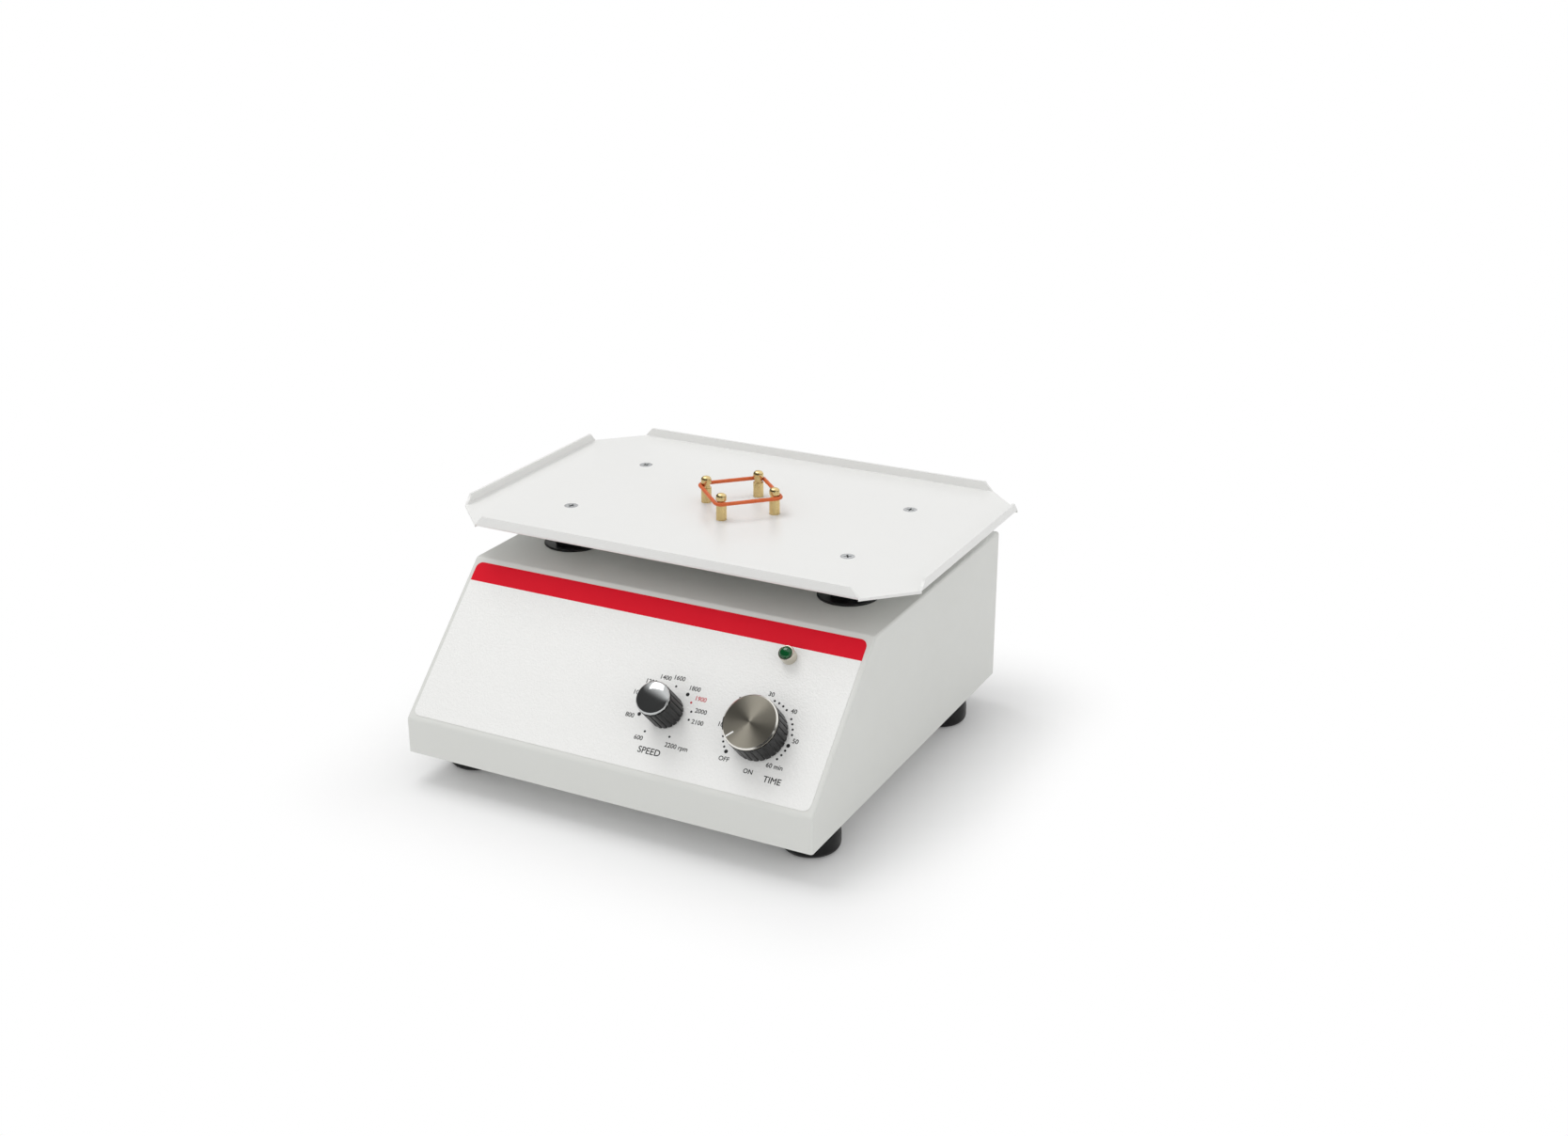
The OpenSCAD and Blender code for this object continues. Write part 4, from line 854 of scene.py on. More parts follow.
@dataclass
class Casing:
    """The folded cover, the base and its feet.

    `foot_bulge` gives points of the foot's side: inset from its radius, and share of its height.
    """

    foot_radius: float = 16.0
    foot_height: float = FEET
    foot_edge: float = 4.0
    foot_bulge: tuple[Point2, ...] = (
        (0.0, 0.36), (0.0, 0.5), (0.35, 0.66), (1.1, 0.8), (2.1, 0.92), (3.0, 1.0))
    foot_recess: Point2 = (5.5, 8.1)
    screw_radius: float = 2.05
    foot_places: tuple[Point2, ...] = ((-106, -88), (106, -88), (-106, 83), (106, 83))

    def foot(self) -> Shape:
        """Draws one bulged rubber foot, standing on Z = 0, with its screw recess.

        Returns:
            The foot.
        """
        r, h, edge = self.foot_radius, self.foot_height, self.foot_edge
        side = arc((r - edge, edge), edge, -90, -6, 8)
        side += [(r - inset, h * up) for inset, up in self.foot_bulge]
        wide, deep = self.foot_recess
        inside = [(self.screw_radius, h), (self.screw_radius, deep), (wide, deep), (wide, 0.0)]
        return Shape().turned(side + inside, closed=True, steps=72)

    def build(self, repeats: Repeats) -> None:
        """Builds and dresses the casing.

        Args:
            repeats: The Geometry Nodes trees.
        """
        for name, node in (("casing_cover", "casing_shell"), ("base_tray", "base_chassis")):
            Piece(name, "casing", [POWDER_COAT], "powder_coat", [node]).make(
                Shape().cad(node), outwards=False)
        feet = repeats.points(self.foot(), [(x, y, 0) for x, y in self.foot_places], RUBBER)
        Piece("bulged_feet", "casing", [RUBBER], "black_rubber", ["rubber_feet"]).make(Shape().joined(feet))


@dataclass
class Glands:
    """The black glands that close the casing round the legs.

    The flange, sleeve and hexagon are given as radius and length.
    """

    deck: float = FEET + COVER
    flange: Point2 = (17.0, 1.2)
    sleeve: Point2 = (8.0, 8.0)
    hexagon: Point2 = (11.55, 5.0)
    bore: float = 6.5
    edge: float = 0.6
    chamfer: float = 0.7
    hexagon_top: float = 0.94
    places: tuple[Point2, ...] = ((-88, -8.25), (88, -8.25), (-88, 74.75), (88, 74.75))

    def gland(self) -> Shape:
        """Draws one gland about its axis, with Z = 0 on the deck.

        Returns:
            The gland.
        """
        (rim, thick), (wide, deep), (corner, height) = self.flange, self.sleeve, self.hexagon
        low = [(self.bore, -deep), (wide, -deep), (wide, 0.0), (rim, 0.0)]
        top = arc((rim - self.edge, thick - self.edge), self.edge, 0, 90, 5) + [(self.bore, thick)]
        return Shape().turned(low + top, closed=True).prism(
            circle(corner, 6), thick, thick + height, holes=[circle(self.bore, 36)],
            top_scale=self.hexagon_top, bevel=self.chamfer)

    def build(self, repeats: Repeats) -> None:
        """Builds and dresses the glands.

        Args:
            repeats: The Geometry Nodes trees.
        """
        rings = repeats.points(self.gland(), [(x, y, self.deck) for x, y in self.places], NYLON)
        Piece("black_glands", "casing", [NYLON], "black_nylon", ["leg_glands"]).make(Shape().joined(rings))


@dataclass
class Label:
    """One printed label: its text, its middle on the panel, and its size in millimetres."""

    text: str
    u: float
    v: float
    size: float = 3.5
    red: bool = False


@dataclass
class PanelPrint:
    """Scales and words printed on the panel film.

    Angles are degrees round a dial. The timer has a dot every two minutes, and a number at each fifth.
    """

    film: float = FILM
    ink: float = 0.03
    bold: float = 0.06
    speed_at: Point2 = (25.7, 36.9)
    speed_radius: float = 14.8
    speed_gap: float = 4.7
    side_gap: float = 0.7
    timer_at: Point2 = (80.5, 37.0)
    timer_radius: float = 18.9
    timer_gap: float = 2.8
    timer_off: float = -135.0
    timer_ten: float = 180.0
    timer_step: float = 9.0
    steps_to_number: int = 5
    numbers: int = 6
    large_step: int = 26
    small_dot: float = 0.62
    large_dot: float = 1.05
    dot_sides: int = 20

    def speed_marks(self) -> list[tuple[str, float, bool]]:
        """Returns each speed mark: its number, angle in degrees and whether its dot is large."""
        return [("600", -119.3, False), ("800", -162.6, True), ("1000", 160.0, False), ("1200", 135.0, False),
                ("1400", 111.0, False), ("1600", 87.2, False), ("1800", 53.2, True), ("1900", 32.3, False),
                ("2000", 12.2, False), ("2100", -5.5, False)]

    def polar(self, centre: Point2, radius: float, angle: float) -> Point2:
        """Returns the point at an angle in degrees round a dial."""
        a = math.radians(angle)
        return centre[0] + radius * math.cos(a), centre[1] + radius * math.sin(a)

    def dots(self) -> tuple[list[Point2], list[Point2], list[Point2]]:
        """Places the dots of both scales.

        Returns:
            The places of the small, the large and the red dots.
        """
        small, large, red = [], [], []
        for number, angle, big in [*self.speed_marks(), ("2200", -59.1, False)]:
            place = self.polar(self.speed_at, self.speed_radius, angle)
            (red if number == "1900" else large if big else small).append(place)
        large.append(self.polar(self.timer_at, self.timer_radius, self.timer_off))
        for step in range(1, self.numbers * self.steps_to_number):
            if step % self.steps_to_number:
                place = self.polar(self.timer_at, self.timer_radius, self.timer_off - self.timer_step * step)
                (large if step == self.large_step else small).append(place)
        return small, large, red

    def labels(self) -> list[Label]:
        """Places every printed number and word. A number beside its dial stands a little further out.

        Returns:
            The labels.
        """
        made = []
        for number, angle, _ in self.speed_marks():
            beside = abs(math.cos(math.radians(angle))) > 0.7
            reach = self.speed_radius + self.speed_gap + (self.side_gap if beside else 0)
            made.append(Label(number, *self.polar(self.speed_at, reach, angle), red=number == "1900"))
        made.append(Label("2200 rpm", 39.2, 19.6))
        for place in range(self.numbers):
            angle = self.timer_ten - self.timer_step * self.steps_to_number * place
            u, v = self.polar(self.timer_at, self.timer_radius + self.timer_gap, angle)
            made.append(Label(f"{10 * (place + 1)}{' min' if place == self.numbers - 1 else ''}", u, v))
        return made + [Label("OFF", 67.4, 19.5), Label("ON", 82.75, 15.94),
                       Label("SPEED", 25.05, 13.97, 5.0), Label("TIME", 97.2, 14.15, 4.7)]

    def lettering(self, labels: Sequence[Label]) -> Shape:
        """Draws labels as thin raised ink on the film.

        A bevel thickens the strokes, since it leaves each letter's fill as it is, and is pressed flat to the
        ink's height.

        Args:
            labels: What to print.

        Returns:
            The shape, in the frame's axes.
        """
        shape = Shape()
        pressed = Matrix.Diagonal((1.0, 1.0, self.ink / 2 / self.bold, 1.0))
        for label in labels:
            curve = bpy.data.curves.new("label", "FONT")
            curve.body, curve.size = label.text, label.size
            curve.align_x, curve.align_y = "CENTER", "CENTER"
            curve.resolution_u, curve.bevel_depth, curve.bevel_resolution = 3, self.bold, 0
            obj = bpy.data.objects.new("label", curve)
            bpy.context.scene.collection.objects.link(obj)
            place = on_panel(label.u, label.v, self.film + self.ink / 2)
            shape.joined(settled(obj, "label"), place @ pressed)
            bpy.data.objects.remove(obj)
            bpy.data.curves.remove(curve)
        return shape

    def dotted(self, shape: Shape, repeats: Repeats, places: Sequence[Point2], radius: float,
               ink: Finish) -> None:
        """Adds raised dots of ink to a shape.

        Args:
            shape: The shape.
            repeats: The Geometry Nodes trees.
            places: Where the dots stand on the panel.
            radius: Their radius.
            ink: Their finish.
        """
        dot = Shape().prism(circle(radius, self.dot_sides), self.film, self.film + self.ink)
        shape.joined(repeats.points(dot, [(u, v, 0) for u, v in places], ink), on_panel(0, 0))

    def build(self, repeats: Repeats) -> None:
        """Builds the print.

        Args:
            repeats: The Geometry Nodes trees.
        """
        small, large, red = self.dots()
        labels = self.labels()
        black = self.lettering([x for x in labels if not x.red])
        self.dotted(black, repeats, small, self.small_dot, PRINT_BLACK)
        self.dotted(black, repeats, large, self.large_dot, PRINT_BLACK)
        Piece("dial_print", "casing", [PRINT_BLACK], "panel_film").make(black)
        warm = self.lettering([x for x in labels if x.red])
        self.dotted(warm, repeats, red, self.small_dot, PRINT_RED)
        Piece("dial_print_red", "casing", [PRINT_RED], "stripe_print").make(warm)


@dataclass(frozen=True)
class Skirt:
    """The ribbed skirt of a knob, drawn with Z = 0 on the panel.

    `rib` is one side of a rib's section, from where it leaves the skirt out to its crown.
    """

    radius: float
    rim: float
    hollow: float
    shoulder: float
    ribs: int
    rib: tuple[Point2, ...]
    rib_stop: float
    rib_bevel: float
    rib_top: float = 0.97
    rib_root: float = 0.4
    low: float = 1.2
    edge: float = 0.3
    bore: float = 3.1
    hub: float = 6.0

    def build(self, repeats: Repeats, piece: Piece, at: Point2) -> None:
        """Builds the skirt.

        Args:
            repeats: The Geometry Nodes trees.
            piece: What the skirt becomes.
            at: The knob's axis on the panel.
        """
        core = self.radius - self.rib[-1][0]
        skirt = Shape().turned([
            (self.hollow, self.low), (core - self.edge, self.low), (core, self.low + self.edge),
            (core, self.rim - self.shoulder), (core - self.edge, self.rim), (self.bore, self.rim),
            (self.bore, self.hub), (self.hollow, self.hub)], closed=True)
        side = [(-self.rib_root, self.rib[0][1]), *self.rib]
        bar = Shape().prism([(x, -y) for x, y in side] + side[-2::-1], self.low, self.rim - self.rib_stop,
                            bevel=self.rib_bevel, top_scale=self.rib_top)
        skirt.joined(repeats.ring(bar, self.ribs, core, KNOB_BLACK))
        piece.make(Shape().joined(skirt.mesh("skirt"), on_panel(*at)))


@dataclass
class SpeedKnob:
    """Fluted black knob with a mirror cap."""

    at: Point2 = (26.7, 36.9)
    skirt: Skirt = Skirt(radius=9.6, rim=19.0, hollow=6.3, shoulder=0.6, ribs=20, rib_stop=0.4,
                         rib_bevel=0.25, rib=((0.175, 1.2), (0.375, 0.984), (0.47, 0.6), (0.5, 0.0)))
    top: float = 22.4
    cap_inset: float = 0.2
    cap_side: float = 1.0
    cap_chamfer: Point2 = (0.3, 0.25)

    def build(self, repeats: Repeats) -> None:
        """Builds the knob.

        Args:
            repeats: The Geometry Nodes trees.
        """
        self.skirt.build(repeats, Piece("fluted_skirt", "speed_dial", [KNOB_BLACK], "knob_plastic",
                                        ["speed_knob"]), self.at)
        r, rim = self.skirt.radius - self.cap_inset, self.skirt.rim
        side, (across, up) = self.cap_side, self.cap_chamfer
        dome = [(r * math.cos(a), rim + side + (self.top - rim - side) * math.sin(a)) for a in quarter(20)]
        cap = [(0.0, rim), (r - across, rim), (r, rim + up), *dome, (0.0, self.top)]
        Piece("mirror_dome", "speed_dial", [MIRROR_CAP], "mirror_cap", ["speed_knob_cap"], 60).make(
            Shape().turned(cap, on_panel(*self.at)))


@dataclass
class TimerKnob:
    """Wide black knob with a spun aluminium face and a white line.

    `line` is where the line starts and ends along its radius, and its width.
    """

    at: Point2 = (82.2, 36.9)
    skirt: Skirt = Skirt(radius=15.3, rim=15.9, hollow=11.0, shoulder=0.3, ribs=28, rib_stop=0.6,
                         rib_bevel=0.2, rib=((0.1, 1.42), (0.27, 1.2496), (0.36, 0.71), (0.4, 0.0)))
    top: float = 17.1
    face_inset: float = 0.2
    face_sunk: float = 0.03
    face_rings: int = 12
    chamfer: Point2 = (0.8, 0.6)
    line: Point3 = (9.6, 14.2, 0.8)
    line_depth: float = 0.2
    line_angle: float = -134.4

    def build(self, repeats: Repeats) -> None:
        """Builds the knob.

        Args:
            repeats: The Geometry Nodes trees.
        """
        self.skirt.build(repeats, Piece("ribbed_skirt", "timer_dial", [KNOB_BLACK], "knob_plastic",
                                        ["timer_knob"]), self.at)
        self.face()
        first, last, wide = self.line
        strip = [(first, -wide / 2), (last, -wide / 2), (last, wide / 2), (first, wide / 2)]
        place = on_panel(*self.at, turn=math.radians(self.line_angle))
        Piece("pointer_line", "timer_dial", [PRINT_WHITE], "knob_plastic").make(
            Shape().prism(strip, self.top - self.line_depth, self.top, place))

    def face(self) -> None:
        """Builds the aluminium face with a UV map that runs round it, for its brushed light."""
        edge, flat = self.skirt.radius - self.face_inset, self.top - self.face_sunk
        inner, foot = edge - self.chamfer[0], self.top - self.chamfer[1]
        profile = [(0.0, self.skirt.rim), (edge, self.skirt.rim), (edge, foot)]
        profile += [(inner * k / self.face_rings, flat) for k in range(self.face_rings, -1, -1)]
        at = on_panel(*self.at)
        finishes = [spun_aluminium(at.translation), BRIGHT_EDGE]
        obj = Piece("spun_face", "timer_dial", finishes, "spun_aluminium", ["timer_knob_disc"]).make(
            Shape().turned(profile, at, steps=144))
        uv = obj.data.uv_layers.new(name="around")
        back = (Matrix.Scale(MM, 4) @ at).inverted()
        near_axis = 1e-4
        for poly in obj.data.polygons:
            middle = back @ poly.center
            if math.hypot(middle.x, middle.y) > inner and middle.z > foot:
                poly.material_index = 1
            base = math.atan2(middle.y, middle.x)
            for loop in poly.loop_indices:
                spot = back @ obj.data.vertices[obj.data.loops[loop].vertex_index].co
                reach = math.hypot(spot.x, spot.y)
                turn = math.atan2(spot.y, spot.x) if reach > near_axis else base
                turn = base + (turn - base + math.pi) % math.tau - math.pi
                uv.data[loop].uv = (turn / math.tau, reach / self.skirt.radius)


@dataclass
class Lamp:
    """Green power lamp in its bezel, which stands on the panel's film."""

    at: Point2 = (83.0, 80.5)
    radius: float = 4.3
    height: float = 6.8
    edge: float = 0.6
    foot_edge: float = 0.2
    lens: float = 3.5
    clearance: float = 0.05
    sill: float = 0.8
    seat: float = 2.4
    lens_side: float = 2.2
    lens_rise: float = 2.17

    def build(self) -> None:
        """Builds the ring and the lens."""
        place = on_panel(*self.at)
        bore, ledge, low = self.lens + self.clearance, self.lens - self.sill, self.height - self.seat
        bezel = [(ledge, FILM), (self.radius - self.foot_edge, FILM), (self.radius, FILM + self.foot_edge),
                 (self.radius, self.height - 1.5 * self.edge)]
        bezel += arc((self.radius - self.edge, self.height - self.edge), self.edge, 20, 90, 5)
        bezel += [(bore, self.height), (bore, low), (ledge, low)]
        Piece("lamp_ring", "casing", [NICKEL], "nickel", ["lamp_bezel"]).make(
            Shape().turned(bezel, place, closed=True, steps=64))
        side = low + self.lens_side
        dome = [(self.lens * math.cos(a), side + self.lens_rise * math.sin(a)) for a in quarter(14)]
        lens = [(0.0, low), (self.lens, low), *dome, (0.0, side + self.lens_rise)]
        Piece("green_lens_dome", "casing", [LENS_GREEN], "green_lens", ["lamp_lens"], 60).make(
            Shape().turned(lens, place, steps=64))


@dataclass
class Tray:
    """The shaking tray with its posts, elastic cord and screws.

    `groove` is the height of the groove's middle, its width and the radius left in it. `lip` gives how far
    in from the post's side, and from the groove's edge, each point of the groove's rounded lip stands.
    `crown_curve` are the powers that fill out the crown. `screw_rings` are radius and Z down the screw, and
    `recess` is the reach, half width and depth of its cross.
    """

    floor: float = 132.0
    centre: Point2 = (0.0, 32.0)
    post_pitch: float = 22.2
    post_radius: float = 3.0
    post_height: float = 15.6
    post_foot: float = 1.5
    post_turn: float = 0.7
    groove: Point3 = (10.1, 2.5, 2.3)
    lip: tuple[Point2, ...] = ((0.0, 0.35), (0.12, 0.08), (0.4, 0.0))
    fillet: tuple[Point2, ...] = ((0.12, 0.1), (0.0, 0.3))
    crown: float = 2.15
    crown_curve: Point2 = (0.8, 0.95)
    cord_radius: float = 1.1
    cord_reach: float = 3.55
    cord_sides: int = 20
    cord_unevenness: float = 0.3
    screw_head: float = 3.95
    screw_rings: tuple[Point2, ...] = ((3.95, -0.15), (2.0, -2.1), (2.0, -13.5))
    screw_turn: float = 0.55
    recess: Point3 = (2.1, 0.42, 1.5)
    recess_floor: float = 0.55
    recess_corner: float = 1.3
    screw_places: tuple[Point2, ...] = ((-88, -9.5), (88, -9.5), (-88, 73.5), (88, 73.5))

    def post(self) -> Shape:
        """Draws one turned brass post, with Z = 0 on the tray floor.

        Returns:
            The post.
        """
        r, (mid, wide, neck) = self.post_radius, self.groove
        low, high = mid - wide / 2, mid + wide / 2
        edge = [(r - x, z) for x, z in self.lip] + [(neck + x, -z) for x, z in self.fillet]
        side = [(0.0, -self.post_foot), (r, -self.post_foot)]
        side += [(x, low - z) for x, z in edge] + [(x, high + z) for x, z in reversed(edge)]
        base, (inwards, upwards) = self.post_height - self.crown, self.crown_curve
        side += [(r * math.cos(a) ** inwards, base + self.crown * math.sin(a) ** upwards)
                 for a in quarter(14)]
        return Shape().turned(side + [(0.0, self.post_height)], steps=48)

    def screw(self) -> Shape:
        """Draws one countersunk screw with a cross recess, its head flush with Z = 0.

        Returns:
            The screw.
        """
        reach, half, deep = self.recess
        corner = half * self.recess_corner
        outline = []
        for k in range(4):
            c, s = math.cos(math.pi / 2 * k), math.sin(math.pi / 2 * k)
            outline += [(x * c - y * s, x * s + y * c)
                        for x, y in ((reach, -half), (reach, half), (corner, corner))]
        shape = Shape()
        head, cross = shape.plate(circle(self.screw_head, 48), 0.0, Matrix(), [outline])
        small = [(x * self.recess_floor, y * self.recess_floor) for x, y in outline]
        shape.wall(cross, shape.plate(small, -deep, Matrix())[0])
        for radius, height in self.screw_rings:
            ring = [shape.bm.verts.new((x, y, height)) for x, y in circle(radius, 48)]
            shape.wall(head, ring)
            head = ring
        shape.bm.faces.new(head)
        return shape

    def post_place(self, k: int, height: float = 0.0) -> Vector:
        """Returns the place of one post, or of a point above it."""
        turn = math.pi / 2 * k
        return Vector((self.centre[0] + self.post_pitch * math.cos(turn),
                       self.centre[1] + self.post_pitch * math.sin(turn), self.floor + height))

    def cord_path(self) -> list[Vector]:
        """Runs the elastic cord round the four posts: a quarter turn at each, and a straight run between.

        Returns:
            The points of the closed path.
        """
        points = []
        for k in range(4):
            at, after = self.post_place(k, self.groove[0]), self.post_place(k + 1, self.groove[0])
            out = [Vector((math.cos(a), math.sin(a), 0)) * self.cord_reach
                   for a in (math.radians(90 * k - 45 + 90 * i / 10) for i in range(11))]
            points += [at + o for o in out]
            points += [(at + out[-1]).lerp(after + out[-1], i / 16) for i in range(1, 16)]
        return points

    def build(self, repeats: Repeats) -> None:
        """Builds and dresses the tray.

        Args:
            repeats: The Geometry Nodes trees.
        """
        Piece("white_tray", "tray", [TRAY_ENAMEL], "tray_enamel", ["shaker_tray"]).make(
            Shape().cad("shaker_tray"), outwards=False)
        posts = repeats.points(self.post(), [self.post_place(k) for k in range(4)], BRASS, self.post_turn)
        Piece("brass_posts", "tray", [BRASS], "brass", ["plate_posts"], 40).make(Shape().joined(posts))
        places = [(x, y, self.floor) for x, y in self.screw_places]
        screws = repeats.points(self.screw(), places, ZINC, self.screw_turn)
        Piece("cross_head_screws", "tray", [ZINC], "zinc_steel", ["tray_screws"]).make(Shape().joined(screws))
        cord = repeats.closed_cord(
            self.cord_path(), self.cord_radius, self.cord_sides, self.cord_unevenness, ELASTIC)
        Piece("orange_cord", "tray", [ELASTIC], "orange_elastic", ["elastic_band"], 60).make(
            Shape().joined(cord))


@dataclass
class CarriedOver:
    """CAD nodes whose shape is right, which get a finish."""

    finishes: tuple[tuple[Finish, tuple[str, ...]], ...] = (
        (PANEL_FILM, ("panel_overlay",)),
        (STRIPE_FILM, ("overlay_stripe",)),
        (ZINC, ("base_screws", "rear_screws", "foot_screws", "inlet_screws", "motor_screws", "bridge_screws",
                "post_screws", "buffer_screws", "board_screws", "transformer_screws")),
        (NYLON, ("power_inlet", "gland_nuts")),
        (NICKEL, ("inlet_pins", "speed_nut", "timer_nut", "lamp_nut")),
        (KNOB_BLACK, ("fuse_drawer",)),
        (RUBBER, ("leg_buffers",)),
        (MOTOR_STEEL, ("motor_can", "speed_pot", "timer_body")),
        (ZINC_SHEET, ("motor_bridge",)),
        (COPPER, ("motor_stator", "transformer_coil")),
        (LAMINATIONS, ("motor_rotor", "transformer_core")),
        (TURNED_STEEL, ("motor_shaft", "crank_hub", "hub_grub_screw", "counterweight", "crank_clip",
                        "bearing_circlip", "tray_legs", "speed_spindle", "timer_spindle")),
        (BEARING_STEEL, ("bearing_inner_ring", "bearing_balls", "bearing_outer_ring")),
        (CAST_ALUMINIUM, ("bearing_housing",)),
        (SPACER_NYLON, ("lamp_holder", "board_spacers")),
        (CIRCUIT_BOARD, ("control_board",)),
        (COMPONENTS, ("board_parts",)),
    )

    def build(self) -> None:
        """Puts each finish on its nodes."""
        for finish, nodes in self.finishes:
            for node in nodes:
                data = frame["nodes"][node].data
                data.materials.clear()
                data.materials.append(finish.material())
            LOG.info("%s on %s", finish.name, ", ".join(nodes))


@dataclass
class Studio:
    """Camera, floor, backdrop light and soft lamps, as in the photograph.

    Places and sizes are in metres, the lens in millimetres and the camera's turns in degrees.
    """

    lens: float = 44.08
    eye: Point3 = (0.4974, -0.8778, 0.5045)
    look: Point3 = (68.43, 0.0, 27.28)
    aim: Point3 = (0.0, 0.0, 0.08)
    floor_half: float = 6.0
    floor_grey: float = 0.85
    floor_lift: float = 0.08
    footprint: Point3 = (0.125, 0.125, 0.0)
    white_from: float = 0.085
    surround: float = 0.73
    room: Point2 = (0.06, 1.0)
    panel_way: Point3 = (0.1, 0.5, 0.86)
    panel_edge: Point2 = (0.4, 0.7)

    def camera(self) -> None:
        """Stands the camera where the photograph was taken from."""
        data = bpy.data.cameras.new("camera")
        data.lens, data.sensor_width = self.lens, 36.0
        data.clip_start, data.clip_end = 0.01, 50.0
        cam = bpy.data.objects.new("camera", data)
        cam.location = self.eye
        cam.rotation_euler = [math.radians(a) for a in self.look]
        bpy.context.scene.collection.objects.link(cam)
        bpy.context.scene.camera = cam

    def seen(self, tree: Tree) -> Socket:
        """Picks out the rays that show the background: camera, glossy and transmission rays.

        Args:
            tree: Nodes of the floor or the world.

        Returns:
            1 for these rays and 0 for the rest.
        """
        path = add(tree, "ShaderNodeLightPath")
        one = add(tree, "ShaderNodeMath", {"operation": "MAXIMUM"}, {
            0: path.outputs["Is Camera Ray"], 1: path.outputs["Is Glossy Ray"]})
        both = add(tree, "ShaderNodeMath", {"operation": "MAXIMUM"}, {
            0: one.outputs[0], 1: path.outputs["Is Transmission Ray"]})
        return both.outputs[0]

    def floor(self) -> None:
        """Lays the white floor, which keeps the object's shadow."""
        mesh = bpy.data.meshes.new("studio_floor")
        h = self.floor_half
        mesh.from_pydata([(-h, -h, 0), (h, -h, 0), (h, h, 0), (-h, h, 0)], [], [(0, 1, 2, 3)])
        obj = bpy.data.objects.new("studio_floor", mesh)
        bpy.context.scene.collection.objects.link(obj)
        made = bpy.data.materials.new("studio_floor")
        made.use_nodes = True
        tree = made.node_tree
        tree.nodes.clear()
        seen = self.seen(tree)
        diffuse = add(tree, "ShaderNodeBsdfDiffuse", None, {"Color": (self.floor_grey,) * 3 + (1.0,)})
        lift = add(tree, "ShaderNodeMath", {"operation": "MULTIPLY"}, {0: seen, 1: self.floor_lift})
        glow = add(tree, "ShaderNodeEmission", None, {"Color": (1, 1, 1, 1), "Strength": lift.outputs[0]})
        near = add(tree, "ShaderNodeAddShader", None, {0: diffuse.outputs[0], 1: glow.outputs[0]})
        white = add(tree, "ShaderNodeEmission", None, {"Color": (1, 1, 1, 1), "Strength": 1.0})
        coord = add(tree, "ShaderNodeTexCoord")
        flat = add(tree, "ShaderNodeVectorMath", {"operation": "ABSOLUTE"}, {0: coord.outputs["Object"]})
        past = add(tree, "ShaderNodeVectorMath", {"operation": "SUBTRACT"}, {
            0: flat.outputs[0], 1: self.footprint})
        clear = add(tree, "ShaderNodeVectorMath", {"operation": "MAXIMUM"}, {
            0: past.outputs[0], 1: (0, 0, 0)})
        reach = add(tree, "ShaderNodeVectorMath", {"operation": "LENGTH"}, {0: clear.outputs[0]})
        away = add(tree, "ShaderNodeMapRange", {"interpolation_type": "SMOOTHSTEP"}, {
            0: reach.outputs[1], 1: 0.0, 2: self.white_from, 3: 0.0, 4: 1.0})
        share = add(tree, "ShaderNodeMath", {"operation": "MULTIPLY"}, {0: away.outputs[0], 1: seen})
        both = add(tree, "ShaderNodeMixShader", None, {
            0: share.outputs[0], 1: near.outputs[0], 2: white.outputs[0]})
        add(tree, "ShaderNodeOutputMaterial", None, {"Surface": both.outputs[0]})
        mesh.materials.append(made)

    def world(self) -> None:
        """Sets a pale surround: white to the camera, and to gloss a broad light panel in a dim room."""
        world = bpy.data.worlds.new("surround")
        bpy.context.scene.world = world
        world.use_nodes = True
        tree = world.node_tree
        tree.nodes.clear()
        coord = add(tree, "ShaderNodeTexCoord")
        along = add(tree, "ShaderNodeVectorMath", {"operation": "DOT_PRODUCT"}, {
            0: coord.outputs["Object"], 1: self.panel_way})
        room = add(tree, "ShaderNodeMapRange", {"interpolation_type": "SMOOTHSTEP"}, {
            0: along.outputs[1], 1: self.panel_edge[0], 2: self.panel_edge[1], 3: self.room[0],
            4: self.room[1]})
        path = add(tree, "ShaderNodeLightPath")
        shown = add(tree, "ShaderNodeMapRange", None, {
            0: path.outputs["Is Camera Ray"], 1: 0.0, 2: 1.0, 3: room.outputs[0], 4: 1.0})
        strength = add(tree, "ShaderNodeMapRange", None, {
            0: self.seen(tree), 1: 0.0, 2: 1.0, 3: self.surround, 4: shown.outputs[0]})
        back = add(tree, "ShaderNodeBackground", None, {
            "Color": (1, 1, 1, 1), "Strength": strength.outputs[0]})
        add(tree, "ShaderNodeOutputWorld", None, {"Surface": back.outputs[0]})

    def softbox(self, name: str, at: Sequence[float], size: float, watts: float, glossy: bool = True) -> None:
        """Hangs one square soft lamp that faces the object.

        Args:
            name: Name of the lamp.
            at: Its place, in metres.
            size: Its side, in metres.
            watts: Its power.
            glossy: False where it fills in shadows but doesn't show in metal.
        """
        data = bpy.data.lights.new(name, "AREA")
        data.shape, data.size, data.energy = "SQUARE", size, watts
        lamp = bpy.data.objects.new(name, data)
        lamp.location = at
        lamp.visible_glossy = glossy
        lamp.rotation_euler = (Vector(self.aim) - Vector(at)).to_track_quat("-Z", "Y").to_euler()
        bpy.context.scene.collection.objects.link(lamp)

    def build(self) -> None:
        """Sets up the whole studio."""
        self.camera()
        self.floor()
        self.world()
        self.softbox("key", (-0.62, 0.03, 1.66), 0.9, 8)
        self.softbox("front", (-0.5, -1.6, 0.75), 1.4, 2.4, glossy=False)
        self.softbox("side", (1.5, -0.5, 0.55), 1.0, 2)
        bpy.context.scene.view_settings.view_transform = "Standard"


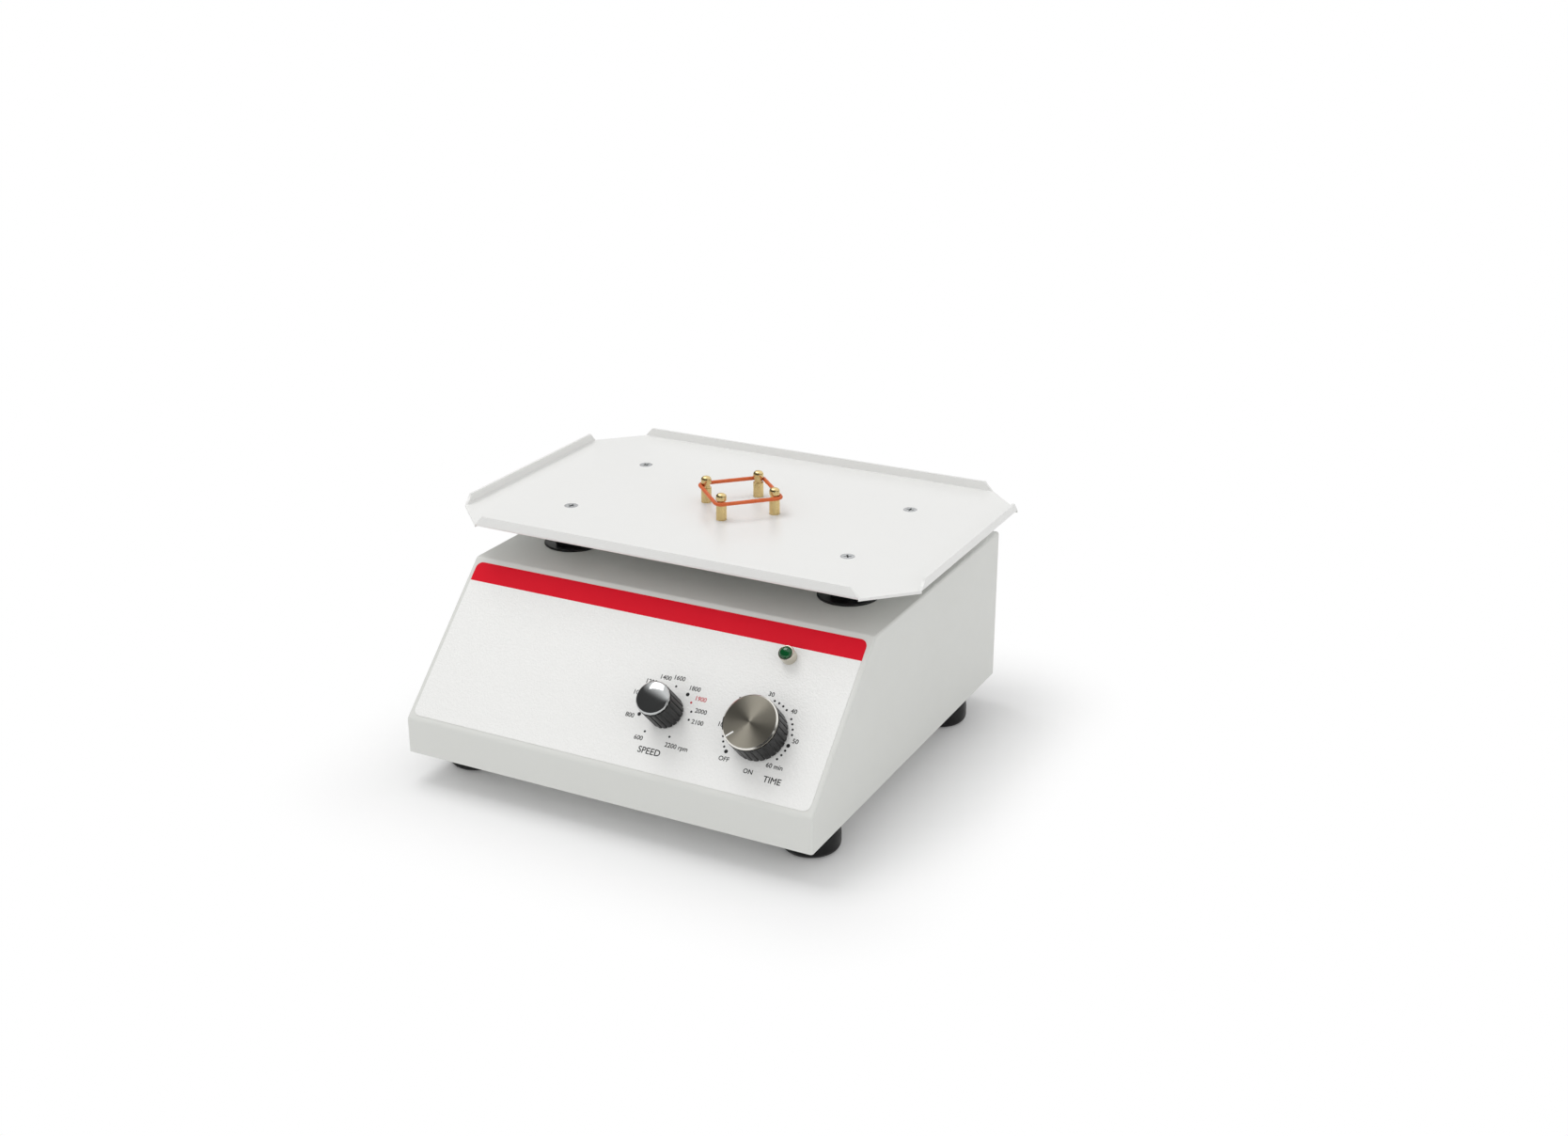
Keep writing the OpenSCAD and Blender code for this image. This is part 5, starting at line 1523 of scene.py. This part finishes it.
def main() -> None:
    """Builds every piece in order."""
    logging.basicConfig(level=logging.INFO, format="%(name)s: %(message)s")
    Studio().build()
    repeats = Repeats()
    CarriedOver().build()
    Casing().build(repeats)
    Glands().build(repeats)
    PanelPrint().build(repeats)
    SpeedKnob().build(repeats)
    TimerKnob().build(repeats)
    Lamp().build()
    Tray().build(repeats)
    bpy.context.view_layer.update()


if __name__ == "__main__":
    main()
